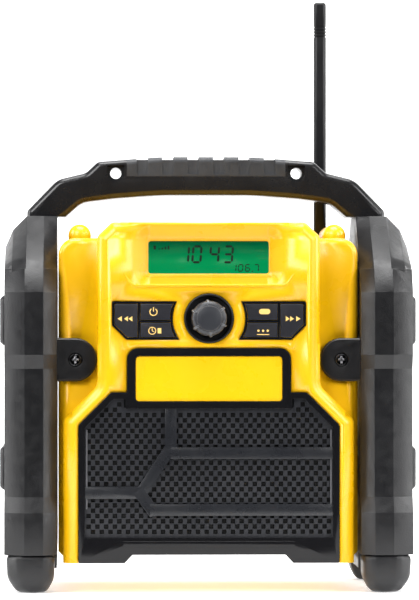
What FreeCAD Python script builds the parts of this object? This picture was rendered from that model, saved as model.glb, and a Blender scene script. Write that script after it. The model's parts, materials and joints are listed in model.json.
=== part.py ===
import FreeCAD, Part
import math
import os
import re
import Sketcher
from FreeCAD import Rotation, Vector

# Jobsite radio. Millimetres; +X to the right of someone facing the display, +Y to the back, +Z up.
# The origin is on the ground, under the middle of the guards. Depths in front of the middle are negative.

doc = FreeCAD.newDocument("jobsite_radio")
sheet = doc.addObject("Spreadsheet::Sheet", "size")

# Driving sizes: name, millimetres or a count, and what it is
SIZES = {
    # Housing
    "housing_half": (96.5, "half width of the housing"),
    "housing_bottom": (18.6, "height of the housing's underside"),
    "shoulder_top": (227, "height of the shoulders"),
    "shoulder_face": (62, "depth of the shoulders' face in front of the middle"),
    "shoulder_round": (11, "rounding of the shoulders' top corners"),
    "panel_face": (76, "depth of the control panel's face in front of the middle"),
    "panel_half": (71.5, "half width of the control panel"),
    "panel_waist": (132, "height where the panel starts to widen"),
    "cheek_half": (93.4, "half width of the panel beside the grille"),
    "cheek_top": (110, "height where the widening ends"),
    "head_half": (62, "half width of the head's flat top"),
    "head_corner": (228, "height where the head's corner cut starts"),
    "head_top": (237, "height of the head at its front"),
    "head_slope": (7, "fall of the head's top towards the back"),
    "edge_round": (7, "rounding of the panel's front edge"),
    "parting": (14, "depth of the joint between the two housings behind the middle"),
    "rear_face": (58, "depth of the rear housing's back behind the middle"),
    "rear_top": (212, "height of the rear housing"),
    "wall": (3, "wall thickness of both housings"),
    "arch_half": (57, "half width of the cut-out under the housing"),
    "arch_rise": (5.3, "height of that cut-out"),
    "foot_slope": (7, "run of the slopes under the housing"),
    "fit": (0.3, "clearance around a fitted piece"),
    # Display
    "display_half": (38.8, "half width of the display's window"),
    "display_low": (204, "height of the window's lower edge"),
    "display_high": (225, "height of the window's upper edge"),
    "display_depth": (8, "depth of the display's hollow in the panel"),
    "display_ledge": (48.4, "half width of the hollow at the panel's face"),
    # Keys
    "keys_inner": (18, "distance from the middle to the key panels"),
    "keys_outer": (62, "distance from the middle to the key panels' outer edge"),
    "keys_low": (161.7, "height of the key panels' lower edge"),
    "keys_high": (186, "height of the key panels' upper edge"),
    "keys_cut": (9, "size of the key panels' cut corner"),
    "keys_split": (44.8, "distance from the middle to the upright gap between keys"),
    "keys_middle": (173.4, "height of the level gap between keys"),
    "key_frame": (1.2, "width of the frame round the keys"),
    "key_gap": (0.35, "gap between a key and its frame"),
    # Knob
    "knob_height": (175.2, "height of the knob's axis"),
    "knob_well": (15.8, "radius of the knob's well"),
    "knob_skirt": (13, "radius of the knob at its foot"),
    "knob_face": (9.6, "radius of the knob's raised face"),
    "knob_front": (85.6, "depth of the knob's face in front of the middle"),
    "knob_ribs": (6, "number of grips round the knob"),
    "knob_spacing": (23.4, "radius of the key panels' hollow beside the knob"),
    # Grille and badge
    "grille_half": (83.5, "half width of the grille"),
    "grille_side": (106.9, "height where the grille starts to narrow"),
    "grille_top": (127.7, "height of the grille beside the badge"),
    "grille_cut": (20.8, "width of the grille's cut corner"),
    "grille_border": (4, "width of the grille's border"),
    "badge_half": (52.4, "half width of the badge frame"),
    "badge_low": (117.4, "height of the badge frame's lower edge"),
    "badge_high": (156, "height of the badge frame's upper edge"),
    "badge_border": (5.2, "width of the badge frame"),
    "mesh_low": (35, "height of the mesh's lower edge"),
    "mesh_sheet": (1.6, "thickness of the mesh"),
    "mesh_set": (3.2, "depth of the mesh behind the grille's border"),
    "mesh_pitch": (8.4, "distance between holes in a row"),
    "mesh_row": (4.9, "distance between rows"),
    "mesh_hole": (3.5, "width of a hole"),
    "rib_wide": (7.4, "width of the grille's bars"),
    # Speakers
    "speaker_off": (40, "distance from the middle to a speaker's axis"),
    "speaker_height": (74, "height of the speakers' axes"),
    "speaker_rim": (38, "radius of the basket's rim"),
    "cone_rim": (31, "radius of the cone's surround"),
    "magnet_radius": (22, "radius of the magnet"),
    # Guards
    "guard_inner": (97.5, "distance from the middle to the guards' inner faces"),
    "guard_half": (131, "half width over the guards"),
    "guard_web": (118, "distance from the middle to the web between the columns"),
    "column_face": (79, "depth of the columns' face from the middle"),
    "column_inner": (48, "depth of the columns' inner side from the middle"),
    "pad_rise": (5, "rise of the upper pads over the columns"),
    "foot_rise": (6, "rise of the foot pads over the columns"),
    "guard_low": (24, "height of the columns' lower ends"),
    "rail_low": (14, "height of the guards' lower rail"),
    "foot_pad_top": (51, "height of the foot pads"),
    "upper_pad_low": (152, "height of the upper pads' lower edge"),
    "upper_pad_high": (192, "height of the upper pads' upper edge"),
    "guard_shoulder": (214, "height where the guards lean inwards"),
    "guard_top": (242, "height of the guards' saddle"),
    "saddle_half": (30, "half depth of the saddle that carries the handle"),
    "saddle_outer": (117.2, "distance from the middle to the saddle's outer edge"),
    "guard_bevel": (8.5, "bevel along the columns"),
    "bar_face": (134, "distance from the middle to the side bars' faces"),
    "lower_bar_low": (65, "height of the lower side bar"),
    "lower_bar_high": (93, "height of the lower side bar's top"),
    "upper_bar_low": (158, "height of the upper side bar"),
    "upper_bar_high": (190, "height of the upper side bar's top"),
    "tab_middle": (148.7, "height of the fixing tabs' screws"),
    "tab_screw": (85.6, "distance from the middle to the fixing tabs' screws"),
    "tab_round": (13.9, "radius of the fixing tabs"),
    "tab_thick": (4.5, "thickness of the fixing tabs"),
    "screw_radius": (1.9, "radius of the screws' shanks"),
    "screw_head": (3.9, "radius of the screws' heads"),
    # Handle
    "handle_half": (16, "half depth of the handle"),
    "handle_under": (256.3, "height of the handle's underside in the middle"),
    "handle_crown": (281.4, "height of the grip's crown"),
    "handle_split": (268.5, "height of the grip's lower edge in the middle"),
    "handle_sag": (3.2, "fall of the handle from its middle to its holes"),
    "grip_half": (52, "half length of the grip"),
    "grip_grooves": (6, "number of finger grooves in the grip"),
    "groove_pitch": (16.7, "distance between finger grooves"),
    "groove_wide": (7.5, "width of a finger groove"),
    "groove_deep": (2, "depth of a finger groove"),
    "grip_wall": (3.4, "thickness of the grip"),
    "hole_off": (59.2, "distance from the middle to the handle's holes"),
    "hole_height": (270.6, "height of the handle's holes"),
    "hole_radius": (3.7, "radius of the handle's holes"),
    # Antenna
    "antenna_off": (77, "distance from the middle to the antenna"),
    "antenna_back": (26, "depth of the antenna behind the middle"),
    "antenna_pivot": (222, "height of the antenna's pin"),
    "antenna_top": (386, "height of the antenna's tip"),
    "antenna_wide": (8.2, "width of the antenna"),
    "antenna_thick": (6.4, "thickness of the antenna"),
    "pin_radius": (1.5, "radius of the hinge pins"),
    "pin_fit": (0.05, "running clearance on the hinge pins"),
    # Battery
    "bay_half": (41.5, "half width of the battery bay"),
    "bay_low": (93, "height of the battery bay's underside"),
    "bay_floor": (34, "depth of the battery bay's floor behind the middle"),
    "bay_wall": (3, "wall thickness of the battery bay"),
    "pack_half": (37, "half width of the battery pack"),
    "pack_length": (114, "length of the battery pack"),
    "pack_back": (81, "depth of the battery pack's back behind the middle"),
    "pack_round": (5, "rounding of the battery pack"),
    "rail_thick": (3.4, "thickness of the bay's rails"),
    "rail_reach": (26.6, "distance from the middle to the bay's rails"),
    "slide_fit": (0.6, "clearance of the pack on the rails"),
    # Door
    "door_half": (68, "half width of the storage door"),
    "door_low": (29, "height of the storage door's hinge"),
    "door_high": (86, "height of the storage door's top"),
    "door_thick": (3, "thickness of the storage door"),
    "barrel_radius": (3.2, "radius of the door's hinge barrels"),
    # Sockets
    "socket_off": (56.5, "distance from the middle to the mains socket and the coin cell"),
    "socket_height": (150, "height of the mains socket and the coin cell"),
    "cell_radius": (10, "radius of the coin cell"),
    # Boards
    "board_thick": (1.6, "thickness of the circuit boards"),
    "control_board": (59, "depth of the control board in front of the middle"),
    "main_board": (6, "depth of the main board in front of the middle"),
    "main_back": (-4.4, "depth of the main board's back behind the middle"),
    "key_stem": (1.8, "radius of a key's stem"),
    "dc_radius": (5.6, "radius of the mains socket"),
    "antenna_stem": (3, "radius of the stem under the antenna's fork"),
    "hinge_back": (61.9, "depth of the door's hinge behind the middle"),
    "hinge_height": (27, "height of the door's hinge"),
}

for row, (alias, (number, meaning)) in enumerate(SIZES.items(), start=1):
    sheet.set(f"A{row}", meaning)
    sheet.set(f"B{row}", str(number))
    sheet.setAlias(f"B{row}", alias)
doc.recompute()


def linked(expression):
    """The expression with each size's name pointed at its cell in the sheet."""
    def cell(match):
        word = match.group()
        return f"size.{word}" if word in SIZES else word

    return re.sub(r"[a-z]\w*", cell, str(expression))


def value(expression):
    """What an expression of sizes comes to."""
    return float(sheet.evalExpression(str(expression)))


def bind(thing, name, expression):
    """Ties a property to an expression of sizes."""
    thing.setExpression(name, linked(expression))


# Shorthand for sketches, features and booleans, all of whose sizes are bound to the sheet
PLANES = {"front": "XZ_Plane", "side": "YZ_Plane", "top": "XY_Plane"}
AXES = {"x": Vector(1, 0, 0), "y": Vector(0, 1, 0), "z": Vector(0, 0, 1)}
SUBPARTS = {}


def subpart(label, thing):
    """Gives a finished piece the name that its file takes."""
    thing.Label = label
    SUBPARTS[label] = thing
    return thing


def draw_circle(sketch, across, up, radius):
    """A circle in a sketch, from its centre and radius."""
    circle = sketch.addGeometry(Part.Circle(Vector(value(across), value(up), 0), Vector(0, 0, 1),
                                            value(radius)))
    place_point(sketch, circle, 3, across, up)
    rule = sketch.addConstraint(Sketcher.Constraint("Radius", circle, value(radius)))
    bind(sketch, f"Constraints[{rule}]", radius)


def place_point(sketch, item, end, across, up):
    """Holds a point of a sketch at its distances from the sketch's origin."""
    for kind, distance in (("DistanceX", across), ("DistanceY", up)):
        rule = sketch.addConstraint(Sketcher.Constraint(kind, -1, 1, item, end, value(distance)))
        bind(sketch, f"Constraints[{rule}]", distance)


def draw_outline(sketch, corners):
    """A closed outline through corners, each (across, up) or, where it is rounded, (across, up, radius)."""
    spots = [Vector(value(corner[0]), value(corner[1]), 0) for corner in corners]
    radii = [value(corner[2]) if len(corner) > 2 else 0 for corner in corners]
    count = len(corners)
    entries = []
    exits = []
    for index, spot in enumerate(spots):
        back = (spots[index - 1] - spot).normalize()
        ahead = (spots[(index + 1) % count] - spot).normalize()
        reach = radii[index] / math.tan(back.getAngle(ahead) / 2) if radii[index] else 0
        entries.append(spot + back * reach)
        exits.append(spot + ahead * reach)
    lines = [sketch.addGeometry(Part.LineSegment(exits[index],
                                                 entries[(index + 1) % count])) for index in range(count)]
    for index, corner in enumerate(corners):
        before = lines[index - 1]
        after = lines[index]
        if not radii[index]:
            sketch.addConstraint(Sketcher.Constraint("Coincident", before, 2, after, 1))
            place_point(sketch, after, 1, corner[0], corner[1])
            continue
        back = (entries[index] - spots[index]).normalize()
        ahead = (exits[index] - spots[index]).normalize()
        half_angle = back.getAngle(ahead) / 2
        middle = spots[index] + (back + ahead).normalize() * (radii[index] / math.sin(half_angle))
        left_turn = back.cross(ahead).z < 0
        first, last = (1, 2) if left_turn else (2, 1)
        ends = (entries[index], exits[index]) if left_turn else (exits[index], entries[index])
        angles = [math.atan2(end.y - middle.y, end.x - middle.x) for end in ends]
        whole = Part.Circle(middle, AXES["z"], radii[index])
        arc = sketch.addGeometry(Part.ArcOfCircle(whole, angles[0], angles[1]))
        mark = sketch.addGeometry(Part.Point(spots[index]), True)
        sketch.addConstraint(Sketcher.Constraint("Tangent", before, 2, arc, first))
        sketch.addConstraint(Sketcher.Constraint("Tangent", arc, last, after, 1))
        rule = sketch.addConstraint(Sketcher.Constraint("Radius", arc, radii[index]))
        bind(sketch, f"Constraints[{rule}]", corner[2])
        place_point(sketch, mark, 1, corner[0], corner[1])
        sketch.addConstraint(Sketcher.Constraint("PointOnObject", mark, 1, before))
        sketch.addConstraint(Sketcher.Constraint("PointOnObject", mark, 1, after))


def new_sketch(body, plane, level, loops):
    """A sketch parallel to one of the body's planes, at a place along that plane's axis."""
    sketch = body.newObject("Sketcher::SketchObject", "Sketch")
    ground = next(item for item in body.Origin.OriginFeatures if item.Role == PLANES[plane])
    sketch.AttachmentSupport = [(ground, "")]
    sketch.MapMode = "FlatFace"
    side = "-1" if plane == "front" else "1"
    bind(sketch, "AttachmentOffset.Base.z", f"{side} * ({level})")
    for loop in loops:
        if isinstance(loop, tuple):
            draw_circle(sketch, *loop)
        else:
            draw_outline(sketch, loop)
    return sketch


def new_body(name):
    """An empty body."""
    return doc.addObject("PartDesign::Body", name)


def pad(body, plane, low, high, *loops, taper=0):
    """Adds material between two places along the plane's axis."""
    feature = body.newObject("PartDesign::Pad", "Pad")
    feature.Profile = new_sketch(body, plane, high if plane == "front" else low, loops)
    bind(feature, "Length", f"({high}) - ({low})")
    feature.TaperAngle = taper
    return feature


def pocket(body, plane, low, high, *loops, taper=0):
    """Takes material away between two places along the plane's axis."""
    feature = body.newObject("PartDesign::Pocket", "Pocket")
    feature.Profile = new_sketch(body, plane, high if plane == "front" else low, loops)
    bind(feature, "Length", f"({high}) - ({low})")
    feature.TaperAngle = taper
    feature.Reversed = True
    return feature


def loft(body, plane, *sections):
    """Adds a straight-sided loft through outlines at several places along the plane's axis."""
    sketches = [new_sketch(body, plane, level, [outline]) for level, outline in sections]
    feature = body.newObject("PartDesign::AdditiveLoft", "Loft")
    feature.Profile = sketches[0]
    feature.Sections = sketches[1:]
    feature.Ruled = True
    return feature


def dress(body, kind, size_name, expression, chosen):
    """Rounds or bevels the body's edges that the test picks."""
    doc.recompute()
    base = body.Tip
    names = [f"Edge{index}" for index, edge in enumerate(base.Shape.Edges, start=1) if chosen(edge)]
    feature = body.newObject(f"PartDesign::{kind}", kind)
    feature.Base = (base, names)
    bind(feature, size_name, expression)
    return feature


def fillet(body, radius, chosen):
    """Rounds edges of a body."""
    return dress(body, "Fillet", "Radius", radius, chosen)


def chamfer(body, size, chosen):
    """Bevels edges of a body."""
    return dress(body, "Chamfer", "Size", size, chosen)


def repeat_round(body, feature, axis, count):
    """Repeats a feature of the body round one of its axes."""
    pattern = body.newObject("PartDesign::PolarPattern", "Repeat")
    pattern.Originals = [feature]
    line = next(item for item in body.Origin.OriginFeatures if item.Role == axis)
    pattern.Axis = (line, [""])
    pattern.Angle = 360
    bind(pattern, "Occurrences", count)
    body.Tip = pattern
    return pattern


def place(thing, x="0", y="0", z="0"):
    """Ties a thing's place to the sheet."""
    for name, distance in (("x", x), ("y", y), ("z", z)):
        bind(thing, f"Placement.Base.{name}", distance)
    return thing


def block(low, high):
    """A box between two corners."""
    box = doc.addObject("Part::Box", "Block")
    for name, first, last in zip(("Length", "Width", "Height"), low, high):
        bind(box, name, f"({last}) - ({first})")
    return place(box, *low)


def rod(axis, low, high, centre, radius, far_radius=None):
    """A round rod or a cone along an axis; centre gives its two other distances in order."""
    kind = "Part::Cone" if far_radius else "Part::Cylinder"
    made = doc.addObject(kind, "Rod")
    if far_radius:
        bind(made, "Radius1", radius)
        bind(made, "Radius2", far_radius)
    else:
        bind(made, "Radius", radius)
    bind(made, "Height", f"({high}) - ({low})")
    made.Placement.Rotation = Rotation(AXES["z"], AXES[axis])
    spot = list(centre)
    spot.insert("xyz".index(axis), low)
    return place(made, *spot)


def ball(centre, radius):
    """A ball."""
    made = doc.addObject("Part::Sphere", "Ball")
    bind(made, "Radius", radius)
    return place(made, *centre)


def turned(name, profile, x="0", z="0"):
    """A body turned about a line along Y: its profile's corners are (distance from the line, depth)."""
    body = new_body(name)
    loop = [(across, *rest) for across, *rest in profile]
    feature = body.newObject("PartDesign::Revolution", "Turn")
    feature.Profile = new_sketch(body, "top", "0", [loop])
    line = next(item for item in body.Origin.OriginFeatures if item.Role == "Y_Axis")
    feature.ReferenceAxis = (line, [""])
    feature.Angle = 360
    return place(body, x=x, z=z)


def join(*things):
    """One piece from several that touch or overlap."""
    made = doc.addObject("Part::MultiFuse", "Join")
    made.Shapes = list(things)
    made.Refine = True
    return made


def cut(base, *tools):
    """The base with the tools taken out of it."""
    made = doc.addObject("Part::Cut", "Cut")
    made.Base = base
    made.Tool = tools[0] if len(tools) == 1 else group(*tools)
    made.Refine = True
    return made


def common(first, second):
    """What two shapes share."""
    made = doc.addObject("Part::Common", "Common")
    made.Base = first
    made.Tool = second
    return made


def group(*things):
    """Separate solids kept together."""
    made = doc.addObject("Part::Compound", "Group")
    made.Links = list(things)
    return made


def mirrored(thing, axis="x"):
    """The same thing on the other side of the middle."""
    made = doc.addObject("Part::Mirroring", "Mirror")
    made.Source = thing
    made.Normal = AXES[axis]
    return made


def both_sides(half):
    """A whole outline from its right half, given from the bottom upwards."""
    left = [(f"-({corner[0]})", *corner[1:]) for corner in reversed(half)]
    return list(half) + left


def rectangle(left, right, low, high, radius="0"):
    """An outline with four corners alike."""
    return [(left, low, radius), (right, low, radius), (right, high, radius), (left, high, radius)]


def screw(axis, seat, tip, head, centre, radius="screw_radius", head_radius="screw_head"):
    """A screw along an axis, from under its head at the seat to its tip, with its head on the far side."""
    low, high = sorted((seat, tip), key=value)
    head_low, head_high = sorted((seat, head), key=value)
    shank = rod(axis, low, high, centre, radius)
    top = rod(axis, head_low, head_high, centre, head_radius)
    return join(shank, top)


# Housings
def shoulders_half(inset):
    """The right half of the housing's outline, drawn in by a wall's thickness or by nothing."""
    low = f"housing_bottom + {inset}"
    return [
        (f"arch_half - foot_slope/2 - {inset}", f"{low} + arch_rise"),
        (f"arch_half + foot_slope/2 - {inset}", low),
        (f"housing_half - foot_slope - {inset}", low),
        (f"housing_half - {inset}", f"{low} + foot_slope"),
        (f"housing_half - {inset}", f"shoulder_top - {inset}", f"shoulder_round - {inset}"),
    ]


def panel_half_outline(inset):
    """The right half of the control panel's outline."""
    low = f"housing_bottom + {inset}"
    return [
        (f"arch_half - foot_slope/2 - {inset}", f"{low} + arch_rise"),
        (f"arch_half + foot_slope/2 - {inset}", low),
        (f"cheek_half - {inset}", low),
        (f"cheek_half - {inset}", "cheek_top", "6"),
        (f"panel_half - {inset}", f"panel_waist - {inset}/2", "10"),
        (f"panel_half - {inset}", "head_corner", "5"),
        (f"head_half - {inset}", f"head_top - {inset}", "4"),
    ]


def lean_back(face, start, radius, top):
    """The side view of what leaves a face that leans back above a height."""
    front = f"-{face} - 30"
    return [
        (front, f"{start} - 30"),
        (f"-{face}", f"{start} - 30"),
        (f"-{face}", start, radius),
        (f"-{face} + 0.65 * ({top} + 10 - {start})", f"{top} + 10"),
        (front, f"{top} + 10"),
    ]


def housing_block(name, outline, face, back, start, radius, top, inset):
    """One of the front housing's two overlapping forms, solid."""
    body = new_body(name)
    pad(body, "front", f"-{face} + {inset}", back, both_sides(outline(inset)))
    pocket(body, "side", "-housing_half - 10", "housing_half + 10",
           lean_back(f"({face} - {inset})", start, radius, top))
    return body


def on_leading_edge(face):
    """A test for the edges round a face's front, above the underside."""
    limit = value(f"-{face} + 0.5")

    def test(edge):
        box = edge.BoundBox
        in_front = box.YMax < limit or (box.ZMin > 190 and box.YMax < limit + 14)
        tall = box.ZMax > value("cheek_top - 10")
        level = box.ZMax - box.ZMin < 0.1 and box.ZMax < 215
        return in_front and tall and not level

    return test


def slope_head(panel, inset):
    """Lets the head's top fall towards the back."""
    pocket(panel, "side", "-housing_half", "housing_half",
           [("-30", f"head_top + 1 - {inset}"), ("parting + 1", f"head_top - head_slope - {inset}"),
            ("parting + 1", "head_top + 9"), ("-30", "head_top + 9")])


def front_solids(inset):
    """The wide form and the panel form of the front housing."""
    back = "parting" if inset == "0" else "parting - wall"
    wide = housing_block("wide_form", shoulders_half, "shoulder_face", back, "shoulder_top - 22", "50",
                         "shoulder_top", inset)
    panel = housing_block("panel_form", panel_half_outline, "panel_face", back, "head_top - 17", "68",
                          "head_top", inset)
    return wide, panel


def make_front_housing():
    """The yellow front: a wide form, the panel in front of it, and every opening in its wall."""
    wide, panel = front_solids("0")
    fillet(wide, "edge_round - 3", on_leading_edge("shoulder_face"))
    fillet(panel, "edge_round", on_leading_edge("panel_face"))
    slope_head(panel, "0")
    domes = []
    for side in ("", "-1 * "):
        centre = (f"{side}82.8", "shoulder_top + 2.1")
        domes.append(rod("y", "-34", "parting", centre, "7.4"))
        domes.append(ball((centre[0], "-34", centre[1]), "7.4"))
    outside = join(wide, panel, *domes)
    inner_wide, inner_panel = front_solids("wall")
    slope_head(inner_panel, "wall")
    hollow = join(inner_wide, inner_panel)
    mouth = new_body("mouth")
    pad(mouth, "front", "parting - wall - 1", "parting + 1", both_sides(rear_half("wall")))
    hood = common(panel_copy(), block(("-display_ledge - 3", "-panel_face + wall/2", "display_low - 14"),
                                      ("display_ledge + 3", "-panel_face + display_depth + wall",
                                       "head_top")))
    baffle = common(panel_copy(),
                    block(("-grille_half - 4", "-panel_face + wall/2", "housing_bottom + arch_rise"),
                          ("grille_half + 4", "-panel_face + 8", "badge_high + 3")))
    shell = join(cut(outside, join(hollow, mouth)), hood, baffle, *front_bosses())
    return subpart("front_housing", cut(shell, *front_openings()))


def panel_copy():
    """The panel's plain form, which trims what stands behind its face."""
    return housing_block("panel_trim", panel_half_outline, "panel_face", "parting", "head_top - 17", "68",
                         "head_top", "0.2")


def rear_half(inset):
    """The right half of the rear housing's outline."""
    outline = shoulders_half(inset)
    return outline[:-1] + [(f"housing_half - {inset}", f"rear_top - {inset}",
                            f"shoulder_round - {inset}")]


HOUSING_SCREWS = [("85", "34"), ("85", "198"), ("-85", "34"), ("-85", "198")]


def front_bosses():
    """Posts inside the front housing for the housing screws and the fixing tabs."""
    posts = []
    for spot in HOUSING_SCREWS:
        front = "-panel_face + 7" if value(spot[1]) < value("cheek_top") else "-shoulder_face + wall/2"
        posts.append(rod("y", front, "parting", spot, "4"))
    for side in ("", "-1 * "):
        posts.append(rod("y", "-shoulder_face + wall/2", "-shoulder_face + 16",
                         (f"{side}tab_screw", "tab_middle"), "5"))
    return posts


def front_openings():
    """What is taken out of the front housing's wall."""
    display = new_body("display_hollow")
    pad(display, "front", "-panel_face - 12", "-panel_face + display_depth",
        rectangle("-display_ledge + 8", "display_ledge - 8", "display_low - 1", "display_high + 3.3",
                  "3"), taper=45)
    window = new_body("window")
    pad(window, "front", "-panel_face", "-panel_face + 20",
        rectangle("-display_half", "display_half", "display_low", "display_high", "2"))
    seat = new_body("grille_seat")
    pad(seat, "front", "-panel_face - 5", "-panel_face + 5", both_sides(grille_outline("fit")))
    tools = [display, window, seat, rod("y", "-100", "-60", ("0", "knob_height"), "knob_well + fit")]
    for side in ("", "-1 * "):
        tools.append(rod("y", "-100", "-60", (f"{side}speaker_off", "speaker_height"), "cone_rim + 1"))
        tools.append(rod("y", "-100", "-shoulder_face + 14", (f"{side}tab_screw", "tab_middle"),
                         "screw_radius"))
    for panel in key_seats():
        tools.append(panel)
    for key in KEYS.values():
        tools.append(rod("y", "-100", "-60", key["stem"], "key_stem + 0.5"))
    for spot in HOUSING_SCREWS:
        tools.append(rod("y", "-20", "parting + 5", spot, "screw_radius"))
    for spot in speaker_screw_spots():
        tools.append(rod("y", "-panel_face + 5.5", "-50", spot, "screw_radius - 0.4"))
    return tools


def make_rear_housing():
    """The yellow back, open for the battery bay, the storage box and the sockets."""
    outside = new_body("rear_form")
    pad(outside, "front", "parting", "rear_face", both_sides(rear_half("0")))
    fillet(outside, "edge_round - 2", lambda edge: edge.BoundBox.YMin > value("rear_face") - 0.1)
    pocket(outside, "front", "parting", "rear_face - wall", both_sides(rear_half("wall")))
    posts = [rod("y", "parting", "rear_face - 1", spot, "5") for spot in HOUSING_SCREWS]
    posts += [rod("y", "main_back", "rear_face - 1", spot, "3.5") for spot in BOARD_POSTS]
    posts.append(rod("y", "rear_face - 9", "rear_face - 1", ("socket_off", "socket_height"),
                     "cell_radius + 2.6"))
    posts.append(block(("antenna_off - 8", "antenna_back - 7", "rear_top - 10"),
                       ("antenna_off + 8", "antenna_back + 7", "rear_top - 1")))
    posts += housing_knuckles()
    tools = [
        block(("-bay_half - fit", "bay_floor - bay_wall - fit", "bay_low - fit"),
              ("bay_half + fit", "rear_face + 1", "rear_top + 1")),
        block(("-door_half + 4", "rear_face - 5", "door_low + 3"),
              ("door_half - 4", "rear_face + 1", "door_high - 3")),
        rod("y", "rear_face - 7.2", "rear_face + 1", ("socket_off", "socket_height"),
            "cell_radius + 0.3"),
        rod("y", "rear_face - 3.2", "rear_face + 1", ("socket_off", "socket_height"),
            "cell_radius + 1.2"),
        rod("y", "rear_face - 5", "rear_face + 1", ("-socket_off", "socket_height"), "dc_radius + 0.2"),
        rod("z", "rear_top - 9", "rear_top + 1", ("antenna_off", "antenna_back"), "antenna_stem"),
        rod("x", "-door_half", "door_half", ("hinge_back", "hinge_height"), "pin_radius"),
    ]
    for spot in HOUSING_SCREWS:
        tools.append(rod("y", "parting - 1", "rear_face + 1", spot, "screw_radius + 0.2"))
        tools.append(rod("y", "rear_face - 5", "rear_face + 1", spot, "screw_head + 0.3"))
    for side in ("", "-1 * "):
        tools.append(rod("y", "rear_face - 14", "rear_face + 1", (f"{side}tab_screw", "tab_middle"),
                         "screw_radius"))
    for side in ("", "-1 * "):
        posts.append(rod("y", "rear_face - 15", "rear_face - 1", (f"{side}tab_screw", "tab_middle"), "5"))
    return subpart("rear_housing", cut(join(outside, *posts), *tools))


def make_housing_screws():
    """Four long screws that draw the two housings together from behind."""
    made = [screw("y", "rear_face - 5", "-15", "rear_face - 2", spot) for spot in HOUSING_SCREWS]
    return subpart("housing_screws", group(*made))


# Grille and badge
def grille_outline(room="0"):
    """The right half of the outline round the grille and the badge frame above it."""
    return [
        (f"grille_half + {room}", f"housing_bottom - 2 * {room}"),
        (f"grille_half + {room}", f"grille_side + {room}/2", "3"),
        (f"grille_half - grille_cut + {room}/2", f"grille_top + {room}", "2"),
        (f"badge_half + {room}", f"grille_top + {room}"),
        (f"badge_half + {room}", f"badge_high + {room}", "7"),
    ]


def mesh_outline():
    """The right half of the opening that the mesh fills."""
    return [
        ("grille_half - grille_border", "mesh_low"),
        ("grille_half - grille_border", "grille_side - 1.6", "3"),
        ("grille_half - grille_cut - 1.6", "grille_top - grille_border", "2"),
        ("badge_half + 1", "grille_top - grille_border"),
        ("badge_half + 1", "badge_low"),
    ]


def bar(first, last, wide):
    """The outline of a straight bar between two points of the grille, square at its ends."""
    start = Vector(*first, 0)
    along = (Vector(*last, 0) - start).normalize()
    across = along.cross(AXES["z"])
    corners = []
    for spot, side in ((first, -1), (last, -1), (last, 1), (first, 1)):
        offset = across * (side / 2)
        corners.append((f"{spot[0]} + {offset.x:.6f} * {wide}", f"{spot[1]} + {offset.y:.6f} * {wide}"))
    return corners


GRILLE_BARS = [
    [(-24.5, 118), (-24.5, 86)],
    [(-25.5, 91), (-45.5, 60)],
    [(-81, 63.5), (-41.5, 63.5)],
    [(-45.5, 65), (-34.5, 50)],
    [(-37.8, 52.6), (81, 52.6)],
    [(-24.5, 88.9), (81, 88.9)],
]


def mesh_holes():
    """Staggered rows of square holes, wherever one fits between the bars and inside the border."""
    pitch = value("mesh_pitch")
    rise = value("mesh_row")
    half = value("mesh_hole") / 2
    margin = half + 1
    front = -value("panel_face")
    depth = value("mesh_set") + value("mesh_sheet") + 6
    bars = [(Vector(*first, 0), Vector(*last, 0)) for first, last in GRILLE_BARS]
    holes = []
    low = value("mesh_low") + margin
    rows = int((value("badge_low") - margin - low) / rise) + 1
    for row in range(rows):
        up = low + row * rise
        narrowing = max(0, up + margin - value("grille_side - 1.6"))
        reach = value("grille_half - grille_border") - margin - narrowing
        shift = pitch / 2 if row % 2 else 0
        for column in range(-int(reach / pitch) - 1, int(reach / pitch) + 2):
            across = column * pitch + shift
            spot = Vector(across, up, 0)
            if abs(across) > reach or any(spot.distanceToLine(a, b - a) < value("rib_wide") / 2 + margin
                                          and between(spot, a, b, margin) for a, b in bars):
                continue
            corner = Vector(across - half, front - 2, up - half)
            holes.append(Part.makeBox(2 * half, depth, 2 * half, corner))
    return holes


def between(spot, first, last, margin):
    """True beside the stretch from one point to the other, or just past its ends."""
    length = (last - first).Length
    along = (spot - first).dot(last - first) / length
    return -margin < along < length + margin


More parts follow.
